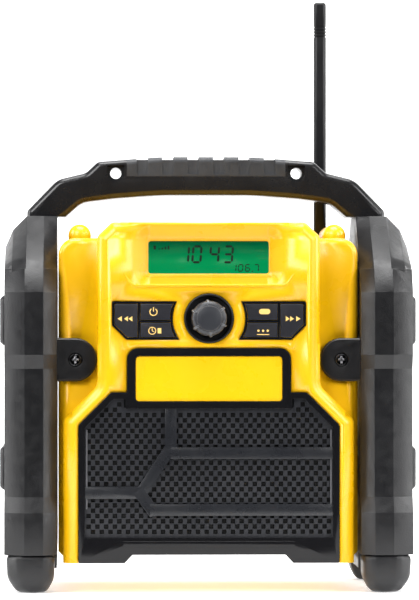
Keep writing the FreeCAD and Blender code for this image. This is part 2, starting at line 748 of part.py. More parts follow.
def make_grille():
    """The black speaker grille with its bars and, above it, the frame round the badge."""
    frame = new_body("grille_frame")
    pad(frame, "front", "-panel_face - 1", "-panel_face + 4.6", both_sides(grille_outline()))
    chamfer(frame, "1", lambda edge: edge.BoundBox.YMax < value("-panel_face - 0.9"))
    pocket(frame, "front", "-panel_face - 2", "-panel_face + 5", both_sides(mesh_outline()))
    pocket(frame, "front", "-panel_face - 2", "-panel_face + 1.4",
           rectangle("-badge_half + badge_border", "badge_half - badge_border", "badge_low + 4.5",
                     "badge_high - 4.8", "2.5"))
    pocket(frame, "front", "-panel_face - 2", "-panel_face + 5",
           [("-arch_half + 3", "housing_bottom - 1"), ("arch_half - 3", "housing_bottom - 1"),
            ("arch_half - 8", "housing_bottom + arch_rise"),
            ("-arch_half + 8", "housing_bottom + arch_rise")])
    ridge = new_body("grille_ridge")
    pad(ridge, "side", "-arch_half + 2", "arch_half - 2",
        [("-panel_face - 1", "29"), ("-panel_face - 2.4", "30"), ("-panel_face - 2.4", "31"),
         ("-panel_face - 1", "33"),
         ("-panel_face + 1", "33"), ("-panel_face + 1", "29")])
    sheet_body = new_body("mesh_sheet")
    pad(sheet_body, "front", "-panel_face + mesh_set - mesh_sheet", "-panel_face + mesh_set",
        both_sides([(f"{corner[0]} + 0.5", f"{corner[1]} - 0.5" if index == 0 else f"{corner[1]} + 0.5")
                    for index, corner in enumerate(mesh_outline())]))
    holes = doc.addObject("Part::Feature", "Holes")
    holes.Shape = Part.makeCompound(mesh_holes())
    mesh = cut(sheet_body, holes)
    ribs = []
    for first, last in GRILLE_BARS:
        rib = new_body("grille_bar")
        pad(rib, "front", "-panel_face - 0.4", "-panel_face + mesh_set - 0.4",
            bar(first, last, "rib_wide"))
        chamfer(rib, "1", lambda edge: edge.BoundBox.YMax < value("-panel_face - 0.3"))
        ribs.append(rib)
    subpart("speaker_grille", join(frame, ridge, mesh, *ribs))
    plate = new_body("badge_plate")
    pad(plate, "front", "-panel_face - 0.2", "-panel_face + 1.4",
        rectangle("-badge_half + badge_border + 0.05", "badge_half - badge_border - 0.05",
                  "badge_low + 4.55", "badge_high - 4.85", "2.4"))
    subpart("badge_plate", plate)


# Display
def make_display():
    """The window's lens, and the module that lights and shows the time and station."""
    back = "-panel_face + display_depth + wall"
    lens = new_body("display_lens")
    pad(lens, "front", f"{back} - wall + 0.4", back,
        rectangle("-display_half + 0.1", "display_half - 0.1", "display_low + 0.1", "display_high - 0.1",
                  "1.9"))
    pad(lens, "front", back, f"{back} + 1",
        rectangle("-display_half - 3", "display_half + 3", "display_low - 2.5", "display_high + 2.5",
                  "1"))
    subpart("display_lens", lens)
    module = new_body("display_module")
    pad(module, "front", f"{back} + 1", "-control_board",
        rectangle("-display_half - 4", "display_half + 4", "display_low - 3.5", "display_high + 3", "1"))
    pocket(module, "front", f"{back} + 0.5", f"{back} + 1.6",
           rectangle("-display_half", "display_half", "display_low", "display_high"))
    subpart("display_module", module)


# Keys
def key_outline(side, grow):
    """The outline of a key panel on one side, grown or shrunk all round."""
    sign = "" if side > 0 else "-1 * "
    slant = f"keys_cut - {grow}/2"
    corners = [
        (f"{sign}(keys_inner - {grow})", f"keys_low - {grow}"),
        (f"{sign}(keys_outer - ({slant}))", f"keys_low - {grow}", "1"),
        (f"{sign}(keys_outer + {grow})", f"keys_low + {slant}", "1"),
        (f"{sign}(keys_outer + {grow})", f"keys_high + {grow}", "1.2"),
        (f"{sign}(keys_inner - {grow})", f"keys_high + {grow}"),
    ]
    return corners if side > 0 else corners[::-1]


KEYS = {}
for _side, _names in ((-1, ("seek_back_button", "power_button", "clock_button")),
                      (1, ("seek_forward_button", "mode_button", "preset_button"))):
    _sign = "" if _side > 0 else "-1 * "
    KEYS[_names[0]] = {"side": _side, "stem": (f"{_sign}53", "175"), "place": "outer"}
    KEYS[_names[1]] = {"side": _side, "stem": (f"{_sign}35", "180"), "place": "upper"}
    KEYS[_names[2]] = {"side": _side, "stem": (f"{_sign}35", "167.5"), "place": "lower"}


def key_seats():
    """The shallow seats for the key panels, hollowed round the knob."""
    seats = []
    for side in (-1, 1):
        seat = new_body("key_seat")
        pad(seat, "front", "-panel_face - 5", "-panel_face + 2", key_outline(side, "fit"))
        seats.append(cut(seat,
                         rod("y", "-panel_face - 6", "-panel_face + 3", ("0", "knob_height"),
                             "knob_spacing - fit")))
    return seats


def make_keys():
    """A frame of three windows on each side of the knob, with a key in each."""
    room = "key_frame"
    for side, frame_name in ((-1, "left_key_frame"), (1, "right_key_frame")):
        sign = "" if side > 0 else "-1 * "
        frame = new_body(frame_name)
        pad(frame, "front", "-panel_face - 0.6", "-panel_face + 2", key_outline(side, "0"))
        inner = new_body("key_field")
        pad(inner, "front", "-panel_face - 2", "-panel_face + 3", key_outline(side, f"-1 * {room}"))
        field = cut(inner,
                    rod("y", "-panel_face - 3", "-panel_face + 4", ("0", "knob_height"),
                        f"knob_spacing + {room}"))
        near = sorted((f"{sign}keys_split", f"{sign}(keys_inner - 5)"), key=value)
        split = sorted((f"{sign}(keys_split - {room}/2)", f"{sign}(keys_split + {room}/2)"), key=value)
        upright = block((split[0], "-panel_face - 2.5", "keys_low - 2"),
                        (split[1], "-panel_face + 3.5", "keys_high + 2"))
        level = block((near[0], "-panel_face - 2.5", f"keys_middle - {room}/2"),
                      (near[1], "-panel_face + 3.5", f"keys_middle + {room}/2"))
        windows = cut(field, upright, level)
        body = cut(frame,
                   rod("y", "-panel_face - 3", "-panel_face + 4", ("0", "knob_height"), "knob_spacing"))
        subpart(frame_name, cut(body, windows))
        for name, key in KEYS.items():
            if key["side"] == side:
                subpart(name, make_key(name, key, sign))


def make_key(name, key, sign):
    """A key: its cap within its window, and its stem through the panel."""
    gap = "key_gap"
    edge = f"key_frame + {gap}"
    cap = new_body(name)
    pad(cap, "front", "-panel_face - 1.1", "-panel_face + 0.8",
        key_outline(key["side"], f"-1 * ({edge})"))
    trims = [rod("y", "-panel_face - 3", "-panel_face + 4", ("0", "knob_height"),
                 f"knob_spacing + {edge}")]
    half = f"(key_frame/2 + {gap})"
    if key["place"] == "outer":
        span = ("keys_inner - 10", f"keys_split + {half}")
        heights = ("keys_low - 5", "keys_high + 5")
    else:
        span = (f"keys_split - {half}", "keys_outer + 10")
        heights = ("keys_low - 5", "keys_high + 5")
        low = "keys_low - 5"
        high = f"keys_middle + {half}"
        if key["place"] == "lower":
            low = f"keys_middle - {half}"
            high = "keys_high + 5"
        across = sorted((f"{sign}(keys_inner - 10)", f"{sign}(keys_outer + 10)"), key=value)
        trims.append(block((across[0], "-panel_face - 3", low), (across[1], "-panel_face + 4", high)))
    ends = sorted((f"{sign}({span[0]})", f"{sign}({span[1]})"), key=value)
    trims.append(block((ends[0], "-panel_face - 3.2", heights[0]),
                       (ends[1], "-panel_face + 4.2", heights[1])))
    stem = rod("y", "-panel_face + 0.4", "-control_board - 6.4", key["stem"], "key_stem")
    return join(cut(cap, *trims), stem)


# Knob
def make_knob():
    """The tuning knob in its well, on the shaft of its encoder."""
    well = turned("knob_well",
                  [("knob_well", "-panel_face - 0.8"), ("knob_well", "-panel_face + 7"),
                   ("4.5", "-panel_face + 7"),
                   ("4.5", "-panel_face + 5"), ("knob_well - 1.4", "-panel_face + 5"),
                   ("knob_well - 1.4", "-panel_face - 0.8")], z="knob_height")
    subpart("knob_well", well)
    skirt = turned("knob_skirt",
                   [("0", "-knob_front"), ("knob_face - 1.5", "-knob_front"),
                    ("knob_face", "-knob_front + 1"),
                    ("knob_face + 0.6", "-knob_front + 2.5"),
                    ("knob_skirt - 1.4", "-knob_front + 3"),
                    ("knob_skirt - 1", "-panel_face + 4.4"),
                    ("0", "-panel_face + 4.4")], z="knob_height")
    grips = new_body("knob_grips")
    first = pad(grips, "front", "-knob_front + 2.2", "-panel_face + 4.4",
                rectangle("-2.6", "2.6", "knob_face - 1", "knob_skirt", "1.2"))
    repeat_round(grips, first, "Y_Axis", "knob_ribs")
    place(grips, z="knob_height")
    bore = rod("y", "-knob_front + 4", "-panel_face + 6", ("0", "knob_height"), "3 + pin_fit")
    subpart("volume_knob", cut(join(skirt, grips), bore))
    shaft = rod("y", "-knob_front + 4.2", "-control_board - 1", ("0", "knob_height"), "3")
    subpart("knob_shaft", shaft)
    case = block(("-6.5", "-control_board - 6", "knob_height - 6.5"),
                 ("6.5", "-control_board", "knob_height + 6.5"))
    bush = rod("y", "-panel_face + 7.4", "-control_board - 5.9", ("0", "knob_height"), "4.2")
    subpart("rotary_encoder",
            cut(join(case, bush),
                rod("y", "-90", "-control_board - 0.9", ("0", "knob_height"), "3 + pin_fit")))


# Boards
BOARD_POSTS = [("-58", "112"), ("58", "112"), ("-58", "190"), ("58", "190")]


def make_boards():
    """The control board with its switches, and the main board with the tuner's can and the heat sink."""
    board = block(("-64", "-control_board", "152"),
                  ("64", "-control_board + board_thick", "head_corner - 2"))
    subpart("control_board", board)
    switches = []
    for key in KEYS.values():
        across, up = key["stem"]
        switches.append(join(
            block((f"{across} - 3", "-control_board - 3.5", f"{up} - 3"),
                  (f"{across} + 3", "-control_board", f"{up} + 3")),
            rod("y", "-control_board - 5", "-control_board - 3.4", key["stem"], "1.6")))
    subpart("key_switches", group(*switches))
    main = block(("-70", "-main_board", "104"), ("70", "-main_board + board_thick", "198"))
    subpart("main_board", main)
    subpart("tuner_shield",
            block(("-60", "-main_board + board_thick", "146"),
                  ("-26", "-main_board + board_thick + 9", "178")))
    fins = [block(("14", "-main_board + board_thick", "120"),
                  ("54", "-main_board + board_thick + 2.5", "150"))]
    for index in range(7):
        left = f"14 + {index} * 6.33"
        fins.append(block((left, "-main_board + board_thick + 2.4", "120"),
                          (f"{left} + 2", "-main_board + board_thick + 14", "150")))
    subpart("heat_sink", join(*fins))


# Speakers
def speaker_screw_spots():
    """Where each speaker's four screws go."""
    spots = []
    for side in ("", "-1 * "):
        for across in ("-1 * ", ""):
            for up in ("-1 * ", ""):
                spots.append((f"{side}speaker_off + {across}(speaker_rim - 2.4) * 0.7071",
                              f"speaker_height + {up}(speaker_rim - 2.4) * 0.7071"))
    return spots


def make_speakers():
    """Two speakers behind the grille, each a basket, a cone and a magnet."""
    front = "-panel_face + 8"
    for side, word in (("-1 * ", "left"), ("", "right")):
        spot = {"x": f"{side}speaker_off", "z": "speaker_height"}
        basket = turned(f"{word}_speaker_basket",
                        [("cone_rim", front), ("speaker_rim", front), ("speaker_rim", f"{front} + 2"),
                         ("cone_rim + 1.2", f"{front} + 2"),
                         ("magnet_radius - 2", f"{front} + 22"), ("9", f"{front} + 22"),
                         ("9", f"{front} + 20"),
                         ("magnet_radius - 4", f"{front} + 20"), ("cone_rim", f"{front} + 2")], **spot)
        holes = [rod("y", f"{front} - 1", f"{front} + 3", hole, "screw_radius")
                 for hole in speaker_screw_spots()[0 if side == "" else 4:][:4]]
        subpart(f"{word}_speaker_basket", cut(basket, *holes))
        cone = turned(f"{word}_speaker_cone",
                      [("0", f"{front} + 8"), ("8", f"{front} + 10.5"), ("cone_rim - 5", f"{front} + 1"),
                       ("cone_rim - 2.5", f"{front} + 0.2"),
                       ("cone_rim - 0.5", f"{front} + 1"),
                       ("cone_rim - 0.5", f"{front} + 1.8"),
                       ("cone_rim - 5", f"{front} + 2"),
                       ("8", f"{front} + 19.9"), ("0", f"{front} + 19.9")], **spot)
        subpart(f"{word}_speaker_cone", cone)
        magnet = turned(f"{word}_speaker_magnet",
                        [("0", f"{front} + 22"), ("magnet_radius", f"{front} + 22"),
                         ("magnet_radius", f"{front} + 33", "1.5"), ("0", f"{front} + 33")],
                        **spot)
        subpart(f"{word}_speaker_magnet", magnet)
    screws = [screw("y", f"{front} + 2", f"{front} - 2.2", f"{front} + 3.6", spot, "screw_radius - 0.4",
                    "screw_head - 1.2")
              for spot in speaker_screw_spots()]
    subpart("speaker_screws", group(*screws))


# Guards
def column_section(face, side):
    """The section of a guard's column whose face is this deep; side is -1 in front and 1 behind."""
    sign = "-1 * " if side < 0 else ""
    corners = [
        ("guard_inner", "column_inner"),
        ("guard_inner", f"{face} - guard_bevel"),
        ("guard_inner + guard_bevel", face),
        ("guard_web", face),
        ("guard_half", f"{face} - guard_bevel"),
        ("guard_half", "column_inner"),
    ]
    return [(across, f"{sign}({depth})") for across, depth in corners]


def head_section(draw_in, top):
    """The side view of the guard's head, drawn in towards its middle."""
    return both_sides([
        (f"column_face - 4 - {draw_in}", "guard_shoulder - 10"),
        (f"column_face - 4 - {draw_in}", f"guard_shoulder - 7 - {draw_in}/4"),
        (f"column_face - 11 - {draw_in}", f"guard_shoulder - {draw_in}/2"),
        (f"saddle_half - {draw_in}/2", top),
    ])


def make_guards():
    """The black guards beside the housing: two columns, a head that carries the handle, and bars between."""
    columns = []
    for side in (-1, 1):
        column = new_body("guard_column")
        foot = "column_face + foot_rise + 1"
        upper = "column_face + pad_rise"
        loft(column, "top",
             ("guard_low", column_section(foot, side)),
             ("foot_pad_top", column_section(foot, side)),
             ("foot_pad_top + 10", column_section("column_face + 1", side)),
             ("upper_pad_low - 9", column_section("column_face", side)),
             ("upper_pad_low", column_section(upper, side)),
             ("upper_pad_high", column_section(upper, side)),
             ("guard_shoulder - 7", column_section("column_face - 4", side)))
        columns.append(column)
    head = new_body("guard_head")
    loft(head, "side",
         ("guard_inner", head_section("guard_bevel", "guard_top")),
         ("guard_inner + guard_bevel", head_section("0", "guard_top")),
         ("saddle_outer", head_section("0", "guard_top")),
         ("saddle_outer + 9", head_section("4", "guard_top - 9")),
         ("guard_half", head_section("guard_bevel", "guard_top - 20")))
    web = new_body("guard_web")
    pad(web, "side", "guard_inner", "guard_web - 6",
        rectangle("-column_inner - 1", "column_inner + 1", "rail_low", "guard_shoulder - 8"))
    window_half = "column_inner - 6"
    pocket(web, "side", "guard_inner - 1", "guard_web",
           rectangle(f"-({window_half})", window_half, "lower_bar_high + 5", "upper_bar_low - 5", "6"),
           rectangle(f"-({window_half})", window_half, "rail_low + 14", "lower_bar_low - 5", "6"))
    bars = []
    for low, high in (("lower_bar_low", "lower_bar_high"), ("upper_bar_low", "upper_bar_high")):
        bars.append(block(("guard_inner", "-column_inner - 1", low),
                          ("guard_half", "column_inner + 1", high)))
    tabs = [make_tab("-shoulder_face - tab_thick", "-shoulder_face"),
            make_tab("rear_face", "rear_face + tab_thick")]
    tools = []
    for low, high, head_low, head_high in (
            ("-shoulder_face - 6", "-shoulder_face + 1", "-shoulder_face - 6",
             "-shoulder_face - tab_thick + 2.6"),
            ("rear_face - 1", "rear_face + 6", "rear_face + tab_thick - 2.6", "rear_face + 6")):
        tools.append(rod("y", low, high, ("tab_screw", "tab_middle"), "screw_radius + 0.2"))
        tools.append(rod("y", head_low, head_high, ("tab_screw", "tab_middle"), "screw_head + 0.8"))
    for across, depth in HANDLE_SCREWS:
        tools.append(rod("z", "guard_shoulder - 12", "guard_top - 10", (across, depth),
                         "screw_head + 0.4"))
        tools.append(rod("z", "guard_top - 11", "guard_top + 1", (across, depth), "screw_radius + 0.2"))
    right = subpart("right_guard", cut(join(*columns, head, web, *bars, *tabs), *tools))
    subpart("left_guard", mirrored(right))


def make_tab(low, high):
    """A guard's fixing tab, round at its end."""
    tab = new_body("fixing_tab")
    reach = "tab_round - 0.1"
    pad(tab, "front", low, high,
        [("tab_screw - tab_round", "tab_middle - tab_round", reach),
         ("guard_inner + 2", "tab_middle - tab_round"),
         ("guard_inner + 2", "tab_middle + tab_round"),
         ("tab_screw - tab_round", "tab_middle + tab_round", reach)])
    outer = value(low) if value(low) < 0 else value(high)
    chamfer(tab, "1",
            lambda edge: abs(edge.BoundBox.YMin - outer) < 0.01 and abs(edge.BoundBox.YMax - outer) < 0.01
            and edge.BoundBox.XMin < value("guard_inner"))
    return tab


def make_guard_trim():
    """What is fixed to the guards: side pads, tab screws and rubber feet."""
    pads = []
    for low, high in (("lower_bar_low", "lower_bar_high"), ("upper_bar_low", "upper_bar_high")):
        body = new_body("side_pad")
        pad(body, "side", "guard_half", "bar_face",
            rectangle("-column_face + guard_bevel + 8", "column_face - guard_bevel - 8", low, high, "4"))
        chamfer(body, "2", lambda edge: edge.BoundBox.XMin > value("bar_face") - 0.1)
        pads.append(body)
    right = subpart("right_side_pads", group(*pads))
    subpart("left_side_pads", mirrored(right))
    screws = []
    for side in ("", "-1 * "):
        spot = (f"{side}tab_screw", "tab_middle")
        screws.append(screw("y", "-shoulder_face - tab_thick + 2.6", "-shoulder_face + 12",
                            "-shoulder_face - tab_thick + 0.4", spot))
        screws.append(screw("y", "rear_face + tab_thick - 2.6", "rear_face - 12",
                            "rear_face + tab_thick - 0.4", spot))
    subpart("guard_screws", group(*screws))
    for side, word in ((-1, "front"), (1, "rear")):
        boot = new_body(f"right_{word}_foot")
        loft(boot, "top",
             ("0", foot_section("6.2", "7", side)),
             ("9", foot_section("1.5", "1.5", side)),
             ("guard_low", foot_section("1", "0.5", side)))
        right_boot = subpart(f"right_{word}_foot", boot)
        subpart(f"left_{word}_foot", mirrored(right_boot))


def foot_section(inset, draw_in, side):
    """The section of a foot, drawn in from the guard's sides and face."""
    sign = "-1 * " if side < 0 else ""
    face = f"column_face + foot_rise + 1 - {draw_in}"
    corners = [
        (f"guard_inner + {inset}", f"column_inner + {draw_in} + 1"),
        (f"guard_inner + {inset}", f"{face} - guard_bevel + 2"),
        (f"guard_inner + {inset} + 6", face),
        (f"guard_half - {inset} * 1.3 - 8", face),
        (f"guard_half - {inset} * 1.3", f"{face} - guard_bevel + 1"),
        (f"guard_half - {inset} * 1.3", f"column_inner + {draw_in} + 1"),
    ]
    return [(across, f"{sign}({depth})") for across, depth in corners]


# Handle
HANDLE_SCREWS = [("106", "-9"), ("106", "9")]


def handle_outline():
    """The right half of the handle, seen from the front."""
    return [
        ("30", "handle_under", "250"),
        ("hole_off + 1", "handle_under - 2.3", "60"),
        ("81.4", "handle_under - 4.9", "14"),
        ("saddle_outer - 25.1", "guard_top"),
        ("saddle_outer", "guard_top"),
        ("saddle_outer", "guard_top + 4", "4"),
        ("97.3", "handle_crown - 15", "14"),
        ("78.8", "handle_crown - 10.6", "8"),
        ("hole_off + 11.7", "handle_crown - handle_sag", "6"),
        ("30", "handle_crown", "250"),
    ]


def handle_form():
    """The handle's whole form, with its long edges rounded."""
    form = new_body("handle_form")
    pad(form, "front", "-handle_half", "handle_half", both_sides(handle_outline()))
    low = value("guard_top")
    fillet(form, "4",
           lambda edge: edge.BoundBox.YMax - edge.BoundBox.YMin < 0.01 and edge.BoundBox.ZMax > low + 0.1)
    return form


def make_handle():
    """The carrying handle between the guards, with a soft grip let into its top."""
    zone = block(("-grip_half", "-handle_half - 1", "handle_split"),
                 ("grip_half", "handle_half + 1", "handle_crown + 1"))
    core = block(("-grip_half - 1", "-handle_half + grip_wall", "handle_split - 1"),
                 ("grip_half + 1", "handle_half - grip_wall", "handle_crown - grip_wall - 1.4"))
    seat = cut(zone, core)
    tools = [seat]
    for side in ("", "-1 * "):
        tools.append(rod("y", "-handle_half - 1", "handle_half + 1", (f"{side}hole_off", "hole_height"),
                         "hole_radius"))
        for low, high in (("-handle_half - 1", "-handle_half + 2.5"),
                          ("handle_half - 2.5", "handle_half + 1")):
            shield = new_body("hole_surround")
            pad(shield, "front", low, high,
                [(f"{side}hole_off - 5.7", "hole_height - 5.9", "5.6"),
                 (f"{side}hole_off + 5.7", "hole_height - 5.9", "5.6"),
                 (f"{side}hole_off + 5.7", "hole_height + 5.2", "0.8"),
                 (f"{side}hole_off - 5.7", "hole_height + 5.2", "0.8")])
            tools.append(shield)
        for across, depth in HANDLE_SCREWS:
            tools.append(rod("z", "guard_top - 1", "guard_top + 11", (f"{side}{across}", depth),
                             "screw_radius"))
    subpart("carry_handle", cut(handle_form(), *tools))
    grooves = []
    for index in range(int(value("grip_grooves"))):
        middle = f"({index} - (grip_grooves - 1)/2) * groove_pitch"
        outer = block((f"{middle} - groove_wide/2", "-handle_half - 1", "handle_split + 1.5"),
                      (f"{middle} + groove_wide/2", "handle_half + 1", "handle_crown + 1"))
        inner = block((f"{middle} - groove_wide", "-handle_half + groove_deep - 0.4", "handle_split"),
                      (f"{middle} + groove_wide", "handle_half - groove_deep + 0.4",
                       "handle_crown - groove_deep"))
        grooves.append(cut(outer, inner))
    subpart("handle_grip", cut(common(handle_form(), zone), core, *grooves))
    screws = [screw("z", "guard_top - 10", "guard_top + 10", "guard_top - 13", (f"{side}{across}", depth))
              for side in ("", "-1 * ") for across, depth in HANDLE_SCREWS]
    subpart("handle_screws", group(*screws))


# Antenna
def make_antenna():
    """The antenna's fork on the rear housing, its pin, and the antenna that folds down behind the handle."""
    spot = ("antenna_off", "antenna_back")
    base = block(("antenna_off - 8", "antenna_back - 7", "rear_top"),
                 ("antenna_off + 8", "antenna_back + 7", "rear_top + 2"))
    cheeks = []
    for low, high in (("antenna_back - 4.6", "antenna_back - 2.3"),
                      ("antenna_back + 2.3", "antenna_back + 4.6")):
        cheeks.append(block(("antenna_off - 5", low, "rear_top + 1"),
                            ("antenna_off + 5", high, "antenna_pivot")))
        cheeks.append(rod("y", low, high, ("antenna_off", "antenna_pivot"), "5"))
    stem = rod("z", "rear_top - 9", "rear_top + 1", spot, "antenna_stem")
    pin_hole = rod("y", "antenna_back - 6", "antenna_back + 6", ("antenna_off", "antenna_pivot"),
                   "pin_radius")
    subpart("antenna_socket", cut(join(base, stem, *cheeks), pin_hole))
    subpart("antenna_pin",
            rod("y", "antenna_back - 4.6", "antenna_back + 4.6", ("antenna_off", "antenna_pivot"),
                "pin_radius"))
    whip = new_body("antenna_shaft")
    half = "antenna_wide/2"
    deep = "antenna_thick/2"
    pad(whip, "top", "antenna_pivot + 6.6", "antenna_top",
        rectangle(f"antenna_off - {half}", f"antenna_off + {half}", f"antenna_back - {deep}",
                  f"antenna_back + {deep}", "2.4"))
    fillet(whip, "2", lambda edge: edge.BoundBox.ZMin > value("antenna_top") - 0.1)
    tongue = block(("antenna_off - 3.8", "antenna_back - 2", "antenna_pivot"),
                   ("antenna_off + 3.8", "antenna_back + 2", "antenna_pivot + 8"))
    eye = rod("y", "antenna_back - 2", "antenna_back + 2", ("antenna_off", "antenna_pivot"), "4.2")
    rings = []
    for index in range(4):
        level = f"antenna_top - 17 - 2.1 * {index}"
        outer = block(("antenna_off - 6", "antenna_back - 6", level),
                      ("antenna_off + 6", "antenna_back + 6", f"{level} + 0.9"))
        inner = block((f"antenna_off - {half} + 0.6", f"antenna_back - {deep} + 0.6", f"{level} - 1"),
                      (f"antenna_off + {half} - 0.6", f"antenna_back + {deep} - 0.6", f"{level} + 2"))
        rings.append(cut(outer, inner))
    bore = rod("y", "antenna_back - 3", "antenna_back + 3", ("antenna_off", "antenna_pivot"),
               "pin_radius + pin_fit")
    subpart("antenna_whip", cut(join(whip, tongue, eye), bore, *rings))


# Battery
def make_battery():
    """The battery bay let into the rear housing, and the pack that slides up and out of it."""
    floor = "bay_floor"
    bay = new_body("battery_bay")
    pad(bay, "front", "bay_floor - bay_wall", "rear_face",
        rectangle("-bay_half", "bay_half", "bay_low", "rear_top"))
    inner = "bay_half - bay_wall"
    pocket(bay, "front", floor, "rear_face + 1",
           [(f"-({inner})", "bay_low + bay_wall"), (inner, "bay_low + bay_wall"), (inner, "rear_top + 1"),
            (f"-({inner})", "rear_top + 1")])
    rails = []
    for left, right in (("-bay_half + 1", "-rail_reach"), ("rail_reach", "bay_half - 1")):
        rails.append(block((left, f"{floor} + 6.1", "bay_low + 1"),
                           (right, f"{floor} + 6.1 + rail_thick", "rear_top")))
    subpart("battery_bay", join(bay, *rails))
    block_low = "bay_low + bay_wall"
    terminal = [block(("-16", f"{floor} + 11", block_low), ("16", "rear_face - 6", f"{block_low} + 4.4"))]
    slots = []
    for index in range(4):
        across = f"-10.5 + 7 * {index}"
        terminal.append(block((f"{across} - 0.5", f"{floor} + 12.5", f"{block_low} + 4"),
                              (f"{across} + 0.5", "rear_face - 8", f"{block_low} + 13")))
        slots.append(block((f"{across} - 1.2", f"{floor} + 9.9", f"{block_low} + 4"),
                           (f"{across} + 1.2", "rear_face - 6", f"{block_low} + 14")))
    subpart("terminal_block", join(*terminal))
    low = f"{block_low} + 5"
    high = f"{low} + pack_length"
    face = f"{floor} + 6.1 + rail_thick + slide_fit"
    case = new_body("battery_case")
    pad(case, "top", low, high, rectangle("-pack_half", "pack_half", face, "pack_back", "pack_round"))
    fillet(case, "pack_round - 2",
           lambda edge: edge.BoundBox.YMin > value("rear_face")
           and edge.BoundBox.ZMax - edge.BoundBox.ZMin < 0.1)
    neck = block(("-rail_reach + slide_fit", f"{floor} + slide_fit", low),
                 ("rail_reach - slide_fit", f"{face} + 1", high))
    flange = block(("-bay_half + bay_wall + slide_fit", f"{floor} + slide_fit", low),
                   ("bay_half - bay_wall - slide_fit", f"{floor} + 6.1 - slide_fit", high))
    inside = block(("-pack_half + 3", f"{face} + 6", f"{low} + 8"),
                   ("pack_half - 3", "pack_back - 3", f"{high} - 14"))
    button = [("-9", "pack_back - 6.5", f"{high} - 11"), ("9", "pack_back + 1", f"{high} - 3")]
    ridges = []
    for index in range(5):
        level = f"{low} + 22 + 14 * {index}"
        ridges.append(block(("-24", "pack_back - 1", level), ("24", "pack_back + 1", f"{level} + 5")))
    subpart("battery_case", cut(join(case, neck, flange), inside, *slots, block(*button), *ridges))
    cells = [rod("x", "-32.5", "32.5",
                 (f"({face} + 6 + pack_back - 3)/2", f"{low} + 17.3 + 18.3 * {index}"),
                 "9") for index in range(5)]
    subpart("battery_cells", group(*cells))
    fit = "0.35"
    release = block((f"-9 + {fit}", "pack_back - 2.8", f"{high} - 11 + {fit}"),
                    (f"9 - {fit}", "pack_back + 1.5", f"{high} - 3 - {fit}"))
    subpart("battery_release", release)


# Storage door
def housing_knuckles():
    """The rear housing's hinge knuckles, with the arms that carry them."""
    made = []
    for left, right in (("-door_half + 2", "-door_half + 10"), ("-5", "5"),
                        ("door_half - 10", "door_half - 2")):
        made.append(rod("x", left, right, ("hinge_back", "hinge_height"), "barrel_radius"))
        made.append(block((left, "rear_face - 1", "hinge_height - 2"),
                          (right, "hinge_back", "hinge_height + 2")))
    return made


def make_storage():
    """The storage box, its door on a pin, the door's latch and the line-in socket inside."""
    box = new_body("aux_box")
    inner = "door_half - 4.4"
    pad(box, "front", "16", "rear_face - wall",
        rectangle(f"-({inner})", inner, "door_low + 3.4", "door_high - 3.4", "3"))
    pocket(box, "front", "18", "rear_face",
           rectangle(f"-({inner}) + 2", f"{inner} - 2", "door_low + 5.4", "door_high - 5.4", "2"))
    socket_spot = ("-44", "58")
    subpart("aux_box", cut(box, rod("y", "15", "19", socket_spot, "4")))
    jack = join(rod("y", "10", "20.5", socket_spot, "4"), block(("-49", "4", "53"), ("-39", "15", "63")))
    subpart("aux_jack", cut(jack, rod("y", "9", "21", socket_spot, "1.8")))
    door = new_body("aux_door")
    near = "rear_face + 0.4"
    pad(door, "front", near, f"{near} + door_thick",
        rectangle("-door_half", "door_half", "hinge_height + 4", "door_high", "4"))
    chamfer(door, "1", lambda edge: edge.BoundBox.YMin > value(f"{near} + door_thick") - 0.1)
    pocket(door, "front", f"{near} + door_thick - 1", f"{near} + door_thick + 1",
           rectangle("-door_half + 8", "door_half - 8", "hinge_height + 12", "door_high - 14", "3"))
    knuckles = []
    for left, right in (("-door_half + 10.4", "-5.4"), ("5.4", "door_half - 10.4")):
        knuckles.append(rod("x", left, right, ("hinge_back", "hinge_height"), "barrel_radius"))
        knuckles.append(block((left, near, "hinge_height"),
                              (right, f"{near} + door_thick", "hinge_height + 5")))
    bore = rod("x", "-door_half", "door_half", ("hinge_back", "hinge_height"), "pin_radius + pin_fit")
    slot = block(("-6.4", "rear_face - 1", "door_high - 10.4"),
                 ("6.4", "rear_face + 9", "door_high - 2.6"))
    subpart("aux_door", cut(join(door, *knuckles), bore, slot))
    subpart("door_pin",
            rod("x", "-door_half + 2", "door_half - 2", ("hinge_back", "hinge_height"), "pin_radius"))
    outer = f"{near} + door_thick + 0.35"
    thumb = block(("-9", outer, "door_high - 9"), ("9", f"{outer} + 2", "door_high - 1"))
    stem = block(("-6", "rear_face - 0.6", "door_high - 6.4"), ("6", f"{outer} + 0.5", "door_high - 3"))
    tongue = block(("-8", "rear_face - 2.4", "door_high - 8"),
                   ("8", "rear_face - 0.2", "door_high - 3.6"))
    subpart("door_latch", join(thumb, stem, tongue))


